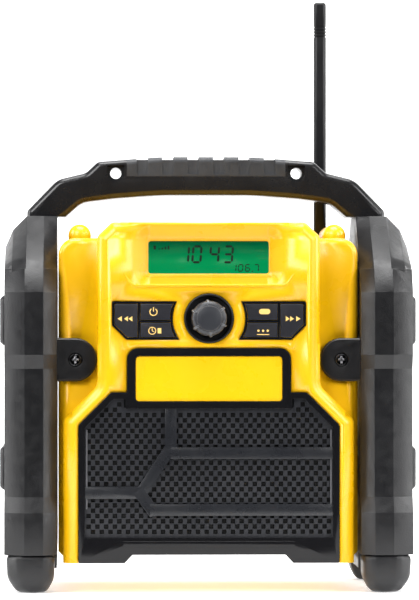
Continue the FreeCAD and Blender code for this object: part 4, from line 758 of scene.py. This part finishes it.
def stroke(points, width):
    """The outline of a line drawn through points."""
    left = []
    right = []
    for index, point in enumerate(points):
        spot = Vector(point)
        before = Vector(points[max(index - 1, 0)])
        after = Vector(points[min(index + 1, len(points) - 1)])
        along = (after - before).normalized()
        side = Vector((-along.y, along.x)) * width / 2
        left.append(spot + side)
        right.append(spot - side)
    return left + right[::-1]


def arc(x, z, radius, start, end, steps=20):
    """Points along an arc, angles in degrees."""
    angles = [math.radians(start + (end - start) * step / steps) for step in range(steps + 1)]
    return [(x + radius * math.cos(angle), z + radius * math.sin(angle)) for angle in angles]


# Pieces
IN_FRONT = -0.2
BEAD_END = 0.45
TINY = 1e-6
HEAD_SHARE = 0.45
SHELL_BLEND = 55.0
GRILLE_BEVEL = 40.0


def bead(name, path, ground, radius, sunk):
    """A thin rounded bead laid along a path on the front of another piece, thinner at its ends."""
    curve = bpy.data.curves.new(name, "CURVE")
    curve.dimensions = "3D"
    curve.bevel_depth = radius * MM
    curve.bevel_resolution = 3
    curve.use_fill_caps = True
    spline = curve.splines.new("POLY")
    spline.points.add(len(path) - 1)
    last = len(path) - 1
    for index, (point, spot) in enumerate(zip(spline.points, path)):
        struck, place, _, _ = ground.ray_cast((spot[0] * MM, IN_FRONT, spot[1] * MM), (0, 1, 0))
        if not struck:
            raise RuntimeError(f"nothing lies behind {name}")
        point.co = (place.x, place.y + sunk * MM, place.z, 1)
        point.radius = BEAD_END if index in (0, last) else 1.0
    return smooth(weld(settle(link(name, curve))), 60.0)


def build_shell():
    """The yellow housings, with the raised lip below the display."""
    front = dressed("front_housing", blend=SHELL_BLEND)
    dressed("rear_housing", blend=SHELL_BLEND)
    lip = rounded([(-55.2, 205), (-49.4, 196.2, 5.5), (49.4, 196.2, 5.5), (55.2, 205)], 8)
    sill = [(-41, 202.4), (-38, 202.0), (38, 202.0), (41, 202.4)]
    beads = [bead("display_lip", lip, front, 1.15, 0.55), bead("display_sill", sill, front, 0.7, 0.35)]
    seat(merged("display_beads", beads), "front_housing", "yellow", replace=False)


def build_guards():
    """The grained guards with their pads and feet."""
    for side in ("left", "right"):
        dressed(f"{side}_guard", sizes().guard_edge, segments=3, angle=15.0)
        dressed(f"{side}_side_pads", 0.001)
        for end in ("front", "rear"):
            dressed(f"{side}_{end}_foot", 0.003, segments=4, angle=15.0)


def build_handle():
    """The carrying handle and its grooved grip."""
    for node, finish in (("carry_handle", "gloss_satin"), ("handle_grip", "grip")):
        dressed(node, 0.0009, finish, segments=3, angle=25.0)


def screw_pattern(name, head):
    """A screw's head, facing the front with its face at the origin, with a cross sunk into it."""
    recess = head * 0.6
    depth = head * 0.45
    half = recess * 0.3

    def cross(angle):
        across = abs(math.cos(angle)) + TINY
        upward = abs(math.sin(angle)) + TINY
        return max(min(half / across, recess / upward), min(half / upward, recess / across))

    rings = [ring(depth + 1.4, head), ring(0.5, head), ring(0.12, head - 0.25), ring(0.0, head - 0.6),
             ring(0.0, cross), ring(depth, cross)]
    return lofted(name, rings)


def islands(work):
    """The separate bodies of a mesh, each as a list of its points' places."""
    left = set(work.verts)
    while left:
        front = [left.pop()]
        island = list(front)
        while front:
            for edge in front.pop().link_edges:
                for vertex in left.intersection(edge.verts):
                    left.remove(vertex)
                    island.append(vertex)
                    front.append(vertex)
        yield [vertex.co for vertex in island]


def screw_heads(node):
    """Where a node's screws have their heads: the middle of the face, the turn towards it, the radius."""
    work = opened(NODES[node].data)
    spots = []
    for island in islands(work):
        low = Vector([min(spot[axis] for spot in island) for axis in range(3)])
        high = Vector([max(spot[axis] for spot in island) for axis in range(3)])
        middle = (low + high) / 2
        across = high.x - low.x
        wide = [spot.y for spot in island
                if math.hypot(spot.x - middle.x, spot.z - middle.z) > HEAD_SHARE * across]
        forward = (min(wide) + max(wide)) / 2 < middle.y
        face = min(wide) if forward else max(wide)
        turn = (0, 0, 0) if forward else (0, 0, math.pi)
        spots.append(((middle.x / MM, face / MM, middle.z / MM), turn, across / MM / 2))
    work.free()
    return spots


def build_screws():
    """Every screw seen from outside, with a recess in its head."""
    for node in ("guard_screws", "housing_screws"):
        spots = screw_heads(node)
        pattern = screw_pattern(node + "_pattern", spots[0][2])
        piece = copies(node + "_heads", pattern, [(place, turn) for place, turn, _ in spots], "dark_steel")
        shanks = dressed(node, finish="dark_steel")
        seat(piece, node, "dark_steel", replace=False)
        shanks.name = node + "_shanks"


def grille_frame():
    """The glossy frame round the sheet and the badge, with its foot cut away in the middle."""
    outer = rounded(both_sides([(49, 23.9), (54, 18.6, 0.8), (83.5, 18.6, 0.8), (83.5, 106.9, 3),
                                (62.7, 127.7, 2), (52.4, 127.7, 1), (52.4, 156, 7)]))
    opening = rounded(both_sides([(79.5, 35, 1), (79.5, 105.3, 3), (61.1, 123.7, 2), (53.4, 123.7, 1),
                                  (53.4, 117.4, 0.5)]))
    window = rectangle(-47.2, 47.2, 121.9, 151.2, 2.5)
    border = plate("grille_frame", [outer, opening, window], PANEL_FACE - 1, PANEL_FACE + 4.6)
    ridge_loop = rectangle(-55, 55, 29.2, 32.6, 0.6)
    ridge = plate("grille_ridge", [ridge_loop], PANEL_FACE - 2.3, PANEL_FACE + 1)
    return bevelled(united("grille_frame", [border, ridge]), 0.0007, 3, GRILLE_BEVEL)


def grille_bars():
    """The bars in front of the sheet, joined where they meet."""
    lines = [[(-24.5, 118), (-24.5, 86)], [(-25.5, 91), (-45.5, 60)], [(-79.4, 63.5), (-41.5, 63.5)],
             [(-45.5, 65), (-34.5, 50)], [(-37.8, 52.6), (79.4, 52.6)], [(-24.5, 88.9), (79.4, 88.9)]]
    bars = []
    for index, line in enumerate(lines):
        front = PANEL_FACE - 0.4 - index * 0.003
        bars.append(plate(f"bar_{index}", [stroke(line, BAR_WIDTH)], front, PANEL_FACE + 2.4))
    return bevelled(united("grille_bars", bars), 0.0011, 2, GRILLE_BEVEL)


def perforated_sheet():
    """The sheet with its staggered square holes, built by a geometry tree from the opening's outline."""
    curve = bpy.data.curves.new("perforated_sheet", "CURVE")
    outline(curve, rounded(both_sides([(80.5, 34), (80.5, 105.9, 3), (61.5, 124.6, 2), (54.4, 124.6),
                                       (54.4, 118)])))
    piece = link("perforated_sheet", curve)
    piece.matrix_world = upright(PANEL_FACE + 3.2)
    size = sizes()
    values = {
        "Hole pitch": size.hole_pitch, "Row pitch": size.row_pitch, "Hole side": size.hole_side,
        "Border": size.hole_side * 0.75, "Thickness": size.sheet_thick, "Finish": FINISHES["sheet"],
    }
    return smooth(apply_tree(piece, perforated_tree(), values))


def build_grille():
    """The speaker grille: frame, bars, sheet, the cloth behind, and light grey side strips that are a painted
    highlight on the frame's inner bevels.
    """
    seat(grille_frame(), "speaker_grille", "gloss_black")
    seat(grille_bars(), "speaker_grille", "grille")
    seat(perforated_sheet(), "speaker_grille", "sheet")
    cloth_loop = rounded(both_sides([(80.5, 34), (80.5, 105.9, 3), (61.5, 124.6, 2)]))
    cloth = plate("speaker_cloth", [cloth_loop], PANEL_FACE + 3.3, PANEL_FACE + 3.9, edge=0.1)
    seat(cloth, "speaker_grille", "cloth", replace=False)
    # Painted highlight: thin light grey strips stand where the frame's inner bevels catch the light.
    strips = []
    for side in (-1, 1):
        strip = rectangle(side * STRIP_PLACE - 0.6, side * STRIP_PLACE + 0.6, 53, 104, 0.5)
        strips.append(plate(f"strip_{side}", [strip], PANEL_FACE + 0.6, PANEL_FACE + 2, edge=0.25))
    seat(merged("grille_strips", strips), "speaker_grille", "grey_strip", replace=False)


def build_badge():
    """The badge's bare yellow plate."""
    loop = rectangle(-47.0, 47.0, 122.1, 151.0, 2.4, 8)
    seat(plate("badge_face", [loop], PANEL_FACE - 0.2, PANEL_FACE + 1.4, 0.35, 3), "badge_plate")


# The knob's radius at each depth behind its face, and each rib's depth, reach and half width
KNOB_PROFILE = ((2.6, 0), (7.6, 0), (7.9, 0.15), (8.1, 0.5), (8.2, 1.2), (8.6, 1.3), (10.6, 2.6), (11.1, 3.4),
                (11.3, 4.4), (11.4, 12.4), (10.8, 13.6))
RIB_SECTIONS = ((0.7, 8.9, 0.55), (0.9, 9.3, 0.75), (2.4, 11.5, 0.85), (3.4, 12.1, 0.9), (12.2, 12.2, 1.0))
RIB_ROOT = 7.4
RIB_CORNER = 0.4
RIB_COUNT = 6
RIB_TURN = -35


def rib_pattern():
    """One rib, from its root inside the knob out to a rounded ridge."""
    rings = []
    for depth, reach, half in RIB_SECTIONS:
        rings.append([(RIB_ROOT, depth, -half), (reach - RIB_CORNER, depth, -half),
                      (reach, depth, RIB_CORNER - half), (reach, depth, half - RIB_CORNER),
                      (reach - RIB_CORNER, depth, half), (RIB_ROOT, depth, half)])
    return lofted("rib_pattern", rings)


def build_knob():
    """The tuning knob, a dark face on a skirt with thin ribs in a lighter grey that is a painted highlight,
    in a black well that is painted shade.
    """
    rings = [ring(KNOB_FRONT + depth, radius, z=KNOB_HEIGHT) for radius, depth in KNOB_PROFILE]
    seat(lofted("knob_cap", rings), "volume_knob", "knob")
    centre = (0, KNOB_FRONT, KNOB_HEIGHT)
    places = [(centre, (0, math.radians(360 / RIB_COUNT * step + RIB_TURN), 0)) for step in range(RIB_COUNT)]
    # The ribs' lighter grey is a painted highlight.
    ribs = copies("knob_ribs", rib_pattern(), places, "painted_rib_highlight")
    seat(ribs, "volume_knob", "painted_rib_highlight", replace=False)
    # The well's black is painted shade in the recess round the knob.
    dressed("knob_well", 0.0005, "well", segments=3)


# Each segment's ends in half heights, and the segments that each figure lights
SEGMENTS = {
    "a": ((0, 2), (1, 2)), "b": ((1, 2), (1, 1)), "c": ((1, 1), (1, 0)), "d": ((0, 0), (1, 0)),
    "e": ((0, 1), (0, 0)), "f": ((0, 2), (0, 1)), "g": ((0, 1), (1, 1)),
}
LIT = {"0": "abcdef", "1": "bc", "3": "abgcd", "4": "fgbc", "6": "afgedc", "7": "abc"}
SLANT = 0.08
SEGMENT_GAP = 0.16


def figure(character, left, low, width, height, thick):
    """The outlines of one figure's lit segments, slightly slanted."""
    loops = []
    for name in LIT[character]:
        ends = []
        for across, up in SEGMENTS[name]:
            rise = up * height / 2
            ends.append(Vector((left + across * width + rise * SLANT, low + rise)))
        along = (ends[1] - ends[0]).normalized()
        side = Vector((-along.y, along.x)) * thick / 2
        start = ends[0] + along * thick * SEGMENT_GAP
        end = ends[1] - along * thick * SEGMENT_GAP
        after = start + along * thick / 2
        before = end - along * thick / 2
        loops.append([start, after + side, before + side, end, before - side, after - side])
    return loops


def signal_marks():
    """The small block and the rising bars in the display's upper left corner."""
    low = 219.6
    loops = [rectangle(-35.4, -33.8, low, 222.0)]
    for step in range(4):
        left = -32.2 + step * 2.0
        loops.append(rectangle(left, left + 1.1, low, 220.2 + step * 0.6))
    return loops


def build_display():
    """The display: lit screen, dark figures and the lens over them."""
    dressed("display_module", finish="screen")
    loops = []
    for character, left in (("1", -18.4), ("0", -10.4), ("4", 0.9), ("3", 9.8)):
        loops += figure(character, left, 211.4, 5.2, 10.2, 1.45)
    for character, left in (("1", 14.9), ("0", 19.2), ("6", 23.7), ("7", 29.4)):
        loops += figure(character, left, 205.7, 2.7, 4.2, 0.7)
    loops.append(circle(28.4, 205.6, 0.4, 12))
    loops += signal_marks()
    figures = plate("display_figures", loops, SCREEN_FACE - 0.35, SCREEN_FACE - 0.15)
    seat(figures, "display_module", "marks", replace=False)
    dressed("display_lens", 0.0003, "lens")


def arrows(side):
    """Three triangles pointing outwards, the outer one apart."""
    half = 1.7
    return [[(side * tip, KEY_MIDDLE), (side * base, KEY_MIDDLE - half), (side * base, KEY_MIDDLE + half)]
            for tip, base in ((58.6, 55.8), (54.4, 51.9), (51.6, 49.1))]


def key_symbols():
    """The printed outlines on each key."""
    lower = 167.3
    face = [circle(-36.4, lower, 2.5, 32), circle(-36.4, lower, 2.0, 32)]
    hands = stroke([(-36.4, 169.1), (-36.4, 167.2), (-35.1, 166.6)], 0.5)
    power = [stroke(arc(-35.6, 179.4, 2.3, 125, 415), 0.6), stroke([(-35.6, 179.6), (-35.6, 182.4)], 0.6)]
    dots = [circle(x, lower, 0.75, 16) for x in (31.6, 34.6, 37.6)]
    return {
        "seek_back_button": arrows(-1),
        "power_button": power,
        "clock_button": [*face, hands, rectangle(-33.0, -30.6, 165.6, 169.0)],
        "mode_button": [rectangle(32.0, 39.2, 177.9, 181.3, 1.65, 8)],
        "preset_button": [*dots, stroke([(30.6, 164.9), (38.6, 164.9)], 0.5)],
        "seek_forward_button": arrows(1),
    }


def build_keys():
    """The six keys with their printed symbols, in two frames."""
    for node, loops in key_symbols().items():
        dressed(node, 0.0004, "key", segments=3)
        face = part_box(node)[0].y / MM
        symbol = plate(node + "_symbol", loops, face - 0.03, face + 0.2)
        seat(symbol, node, "print", replace=False)
    for node in ("left_key_frame", "right_key_frame"):
        dressed(node, 0.0003, "gloss_black")


def build_antenna():
    """The flat rubber antenna on its pivot."""
    dressed("antenna_whip", 0.0006, segments=3, angle=25.0)
    dressed("antenna_socket", 0.0005)


def build_back():
    """The battery pack and bay, the storage door, the sockets and their covers."""
    softer = {"battery_case": 0.0009, "battery_bay": 0.0006, "battery_release": 0.0005, "aux_door": 0.0006,
              "door_latch": 0.0005, "dc_cap": 0.0005, "coin_cell_cover": 0.0004, "aux_box": 0.0005}
    for node, edge in softer.items():
        dressed(node, edge)


def build_inside():
    """Every node not yet dressed: speakers, boards, cells, pins and sockets."""
    for node in sorted(NODES):
        if not NODES[node].hide_render:
            dressed(node)


# Stage, in metres
FLOOR_FRONT = -0.3
FLOOR_BACK = 1.6
FLOOR_HALF = 6.0
FLOOR_GAP = 0.0004
BACKDROP_BEND = 0.9
BACKDROP_TOP = 5.0
PICTURE_HEIGHT = 0.384
CAMERA_SIDE = -0.082
CAMERA_HEIGHT = 0.165
TARGET_SIDE = 0.0003
TARGET_HEIGHT = 0.187
AIR_LIGHT = 0.08
STAGE_CENTRE = (0, 0, 0.2)

# Each soft light's name, place, target, width, height and power
SOFTBOXES = (
    ("left_softbox", (-1.3, -1.9, 1.5), STAGE_CENTRE, 1.2, 1.2, 44),
    ("right_softbox", (1.5, -1.7, 1.0), STAGE_CENTRE, 0.9, 1.2, 26),
    ("left_strip", (-1.5, -0.1, 0.5), STAGE_CENTRE, 0.5, 1.5, 20),
    ("right_strip", (1.5, -0.1, 0.5), STAGE_CENTRE, 0.5, 1.5, 20),
    ("top_softbox", (0.0, -0.2, 1.7), (0, 0.05, 0), 1.2, 0.9, 34),
    ("back_softbox", (0.3, 1.3, 1.5), (0, 0.3, 0.2), 1.6, 0.8, 14),
)


def aim(piece, place, target):
    """Sets a camera or a light down facing a target."""
    piece.location = place
    piece.rotation_euler = (Vector(target) - Vector(place)).to_track_quat("-Z", "Y").to_euler()


def softbox(name, place, target, wide, high, power):
    """A large soft light."""
    light = bpy.data.lights.new(name, "AREA")
    light.shape = "RECTANGLE"
    light.size = wide
    light.size_y = high
    light.energy = power
    lamp = link(name, light)
    aim(lamp, place, target)
    lamp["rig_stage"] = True


def floor_finish():
    """The pale floor, which glows softly towards the backdrop."""
    material, tree, shader = new_material("studio_floor")
    split = add_node(tree, "ShaderNodeSeparateXYZ", {"Vector": object_coordinates(tree)})
    away = add_node(tree, "ShaderNodeMapRange", {
        "From Min": -0.1, "From Max": FLOOR_BACK, "To Min": 0.4, "To Max": 0.8, "Value": split.outputs["Y"]})
    tone = colours().floor
    feed(tree, shader, {
        "Base Color": ramp(tree, noise(tree, 3.0), tone, shaded(tone, 1.03)),
        "Roughness": 0.75,
        "Emission Color": (1, 1, 1, 1),
        "Emission Strength": away.outputs["Result"],
    })
    return material


def build_floor():
    """A pale floor that curves up into a backdrop."""
    low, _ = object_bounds()
    curve = [(FLOOR_FRONT, 0), (FLOOR_BACK, 0)]
    for step in range(6, 91, 6):
        angle = math.radians(step)
        curve.append((FLOOR_BACK + BACKDROP_BEND * math.sin(angle),
                      BACKDROP_BEND - BACKDROP_BEND * math.cos(angle)))
    curve.append((FLOOR_BACK + BACKDROP_BEND, BACKDROP_TOP))
    points = [(across, y, z + low.z - FLOOR_GAP) for y, z in curve for across in (-FLOOR_HALF, FLOOR_HALF)]
    faces = [(2 * i, 2 * i + 1, 2 * i + 3, 2 * i + 2) for i in range(len(curve) - 1)]
    mesh = bpy.data.meshes.new("studio_floor")
    mesh.from_pydata(points, [], faces)
    mesh.materials.append(floor_finish())
    floor = smooth(link("studio_floor", mesh), 60.0)
    floor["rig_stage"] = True


def build_air():
    """White surroundings to the camera, which light the radio only faintly."""
    world = bpy.data.worlds.new("studio_air")
    world.use_nodes = True
    air = world.node_tree
    seen_directly = air.nodes.new("ShaderNodeLightPath").outputs["Is Camera Ray"]
    strength = add_node(air, "ShaderNodeMapRange", {
        "To Min": AIR_LIGHT, "To Max": 1.0, "Value": seen_directly})
    feed(air, air.nodes["Background"], {"Color": (1, 1, 1, 1), "Strength": strength.outputs["Result"]})
    bpy.context.scene.world = world


def build_camera():
    """The camera, at the photo's viewing angle."""
    camera = bpy.data.cameras.new("camera")
    camera.sensor_fit = "VERTICAL"
    camera.sensor_height = 24.0
    distance = sizes().camera_distance
    camera.lens = camera.sensor_height * distance / PICTURE_HEIGHT
    camera.clip_start = 0.05
    seen = link("camera", camera)
    face = PANEL_FACE * MM
    aim(seen, (CAMERA_SIDE, face - distance, CAMERA_HEIGHT), (TARGET_SIDE, face, TARGET_HEIGHT))
    seen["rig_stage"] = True
    bpy.context.scene.camera = seen


def build_stage():
    """The floor and backdrop, the soft lights, the surroundings and the camera."""
    build_floor()
    for light in SOFTBOXES:
        softbox(*light)
    build_air()
    bpy.context.scene.view_settings.view_transform = "Standard"
    build_camera()


# Operators
class RADIO_OT_finishes(bpy.types.Operator):
    """Makes every finish of the radio."""

    bl_idname = "radio.finishes"
    bl_label = "Make finishes"

    def execute(self, context):
        FINISHES.update(make_finishes())
        return {"FINISHED"}


class RADIO_OT_shell(bpy.types.Operator):
    """Builds the yellow housings."""

    bl_idname = "radio.shell"
    bl_label = "Build shell"

    def execute(self, context):
        build_shell()
        return {"FINISHED"}


class RADIO_OT_guards(bpy.types.Operator):
    """Builds the guards, their pads and feet."""

    bl_idname = "radio.guards"
    bl_label = "Build guards"

    def execute(self, context):
        build_guards()
        return {"FINISHED"}


class RADIO_OT_handle(bpy.types.Operator):
    """Builds the carrying handle and its grip."""

    bl_idname = "radio.handle"
    bl_label = "Build handle"

    def execute(self, context):
        build_handle()
        return {"FINISHED"}


class RADIO_OT_screws(bpy.types.Operator):
    """Builds the screws' heads with their recesses."""

    bl_idname = "radio.screws"
    bl_label = "Build screws"

    def execute(self, context):
        build_screws()
        return {"FINISHED"}


class RADIO_OT_grille(bpy.types.Operator):
    """Builds the speaker grille and the badge."""

    bl_idname = "radio.grille"
    bl_label = "Build grille"

    def execute(self, context):
        build_grille()
        build_badge()
        return {"FINISHED"}


class RADIO_OT_knob(bpy.types.Operator):
    """Builds the tuning knob and its well."""

    bl_idname = "radio.knob"
    bl_label = "Build knob"

    def execute(self, context):
        build_knob()
        return {"FINISHED"}


class RADIO_OT_display(bpy.types.Operator):
    """Builds the display, its figures and its lens."""

    bl_idname = "radio.display"
    bl_label = "Build display"

    def execute(self, context):
        build_display()
        return {"FINISHED"}


class RADIO_OT_keys(bpy.types.Operator):
    """Builds the keys with their symbols."""

    bl_idname = "radio.keys"
    bl_label = "Build keys"

    def execute(self, context):
        build_keys()
        return {"FINISHED"}


class RADIO_OT_antenna(bpy.types.Operator):
    """Builds the antenna and its socket."""

    bl_idname = "radio.antenna"
    bl_label = "Build antenna"

    def execute(self, context):
        build_antenna()
        return {"FINISHED"}


class RADIO_OT_back(bpy.types.Operator):
    """Builds the battery pack, the storage door and the sockets."""

    bl_idname = "radio.back"
    bl_label = "Build back"

    def execute(self, context):
        build_back()
        return {"FINISHED"}


class RADIO_OT_inside(bpy.types.Operator):
    """Builds what is inside the radio."""

    bl_idname = "radio.inside"
    bl_label = "Build inside"

    def execute(self, context):
        build_inside()
        return {"FINISHED"}


class RADIO_OT_stage(bpy.types.Operator):
    """Builds the floor, the lights and the camera."""

    bl_idname = "radio.stage"
    bl_label = "Build stage"

    def execute(self, context):
        build_stage()
        return {"FINISHED"}


STEPS = (
    RADIO_OT_finishes, RADIO_OT_shell, RADIO_OT_guards, RADIO_OT_handle, RADIO_OT_screws, RADIO_OT_grille,
    RADIO_OT_knob, RADIO_OT_display, RADIO_OT_keys, RADIO_OT_antenna, RADIO_OT_back, RADIO_OT_inside,
    RADIO_OT_stage,
)


class RADIO_PT_panel(bpy.types.Panel):
    """The radio's settings and build steps."""

    bl_idname = "RADIO_PT_panel"
    bl_label = "Radio"
    bl_space_type = "VIEW_3D"
    bl_region_type = "UI"
    bl_category = "Radio"

    def draw(self, context):
        for group in (context.scene.radio_sizes, context.scene.radio_colours):
            box = self.layout.box()
            for name in type(group).__annotations__:
                box.prop(group, name)
        for step in STEPS:
            self.layout.operator(step.bl_idname)


CLASSES = (RadioSizes, RadioColours, *STEPS, RADIO_PT_panel)


def register():
    """Makes the classes and their settings known."""
    for entry in CLASSES:
        bpy.utils.register_class(entry)
    bpy.types.Scene.radio_sizes = PointerProperty(type=RadioSizes)
    bpy.types.Scene.radio_colours = PointerProperty(type=RadioColours)


def unregister():
    """Takes the classes and their settings away again."""
    del bpy.types.Scene.radio_colours
    del bpy.types.Scene.radio_sizes
    for entry in reversed(CLASSES):
        bpy.utils.unregister_class(entry)


def main():
    """Registers the classes and builds the whole radio."""
    register()
    for step in STEPS:
        family, name = step.bl_idname.split(".")
        getattr(getattr(bpy.ops, family), name)()


if __name__ == "__main__":
    main()
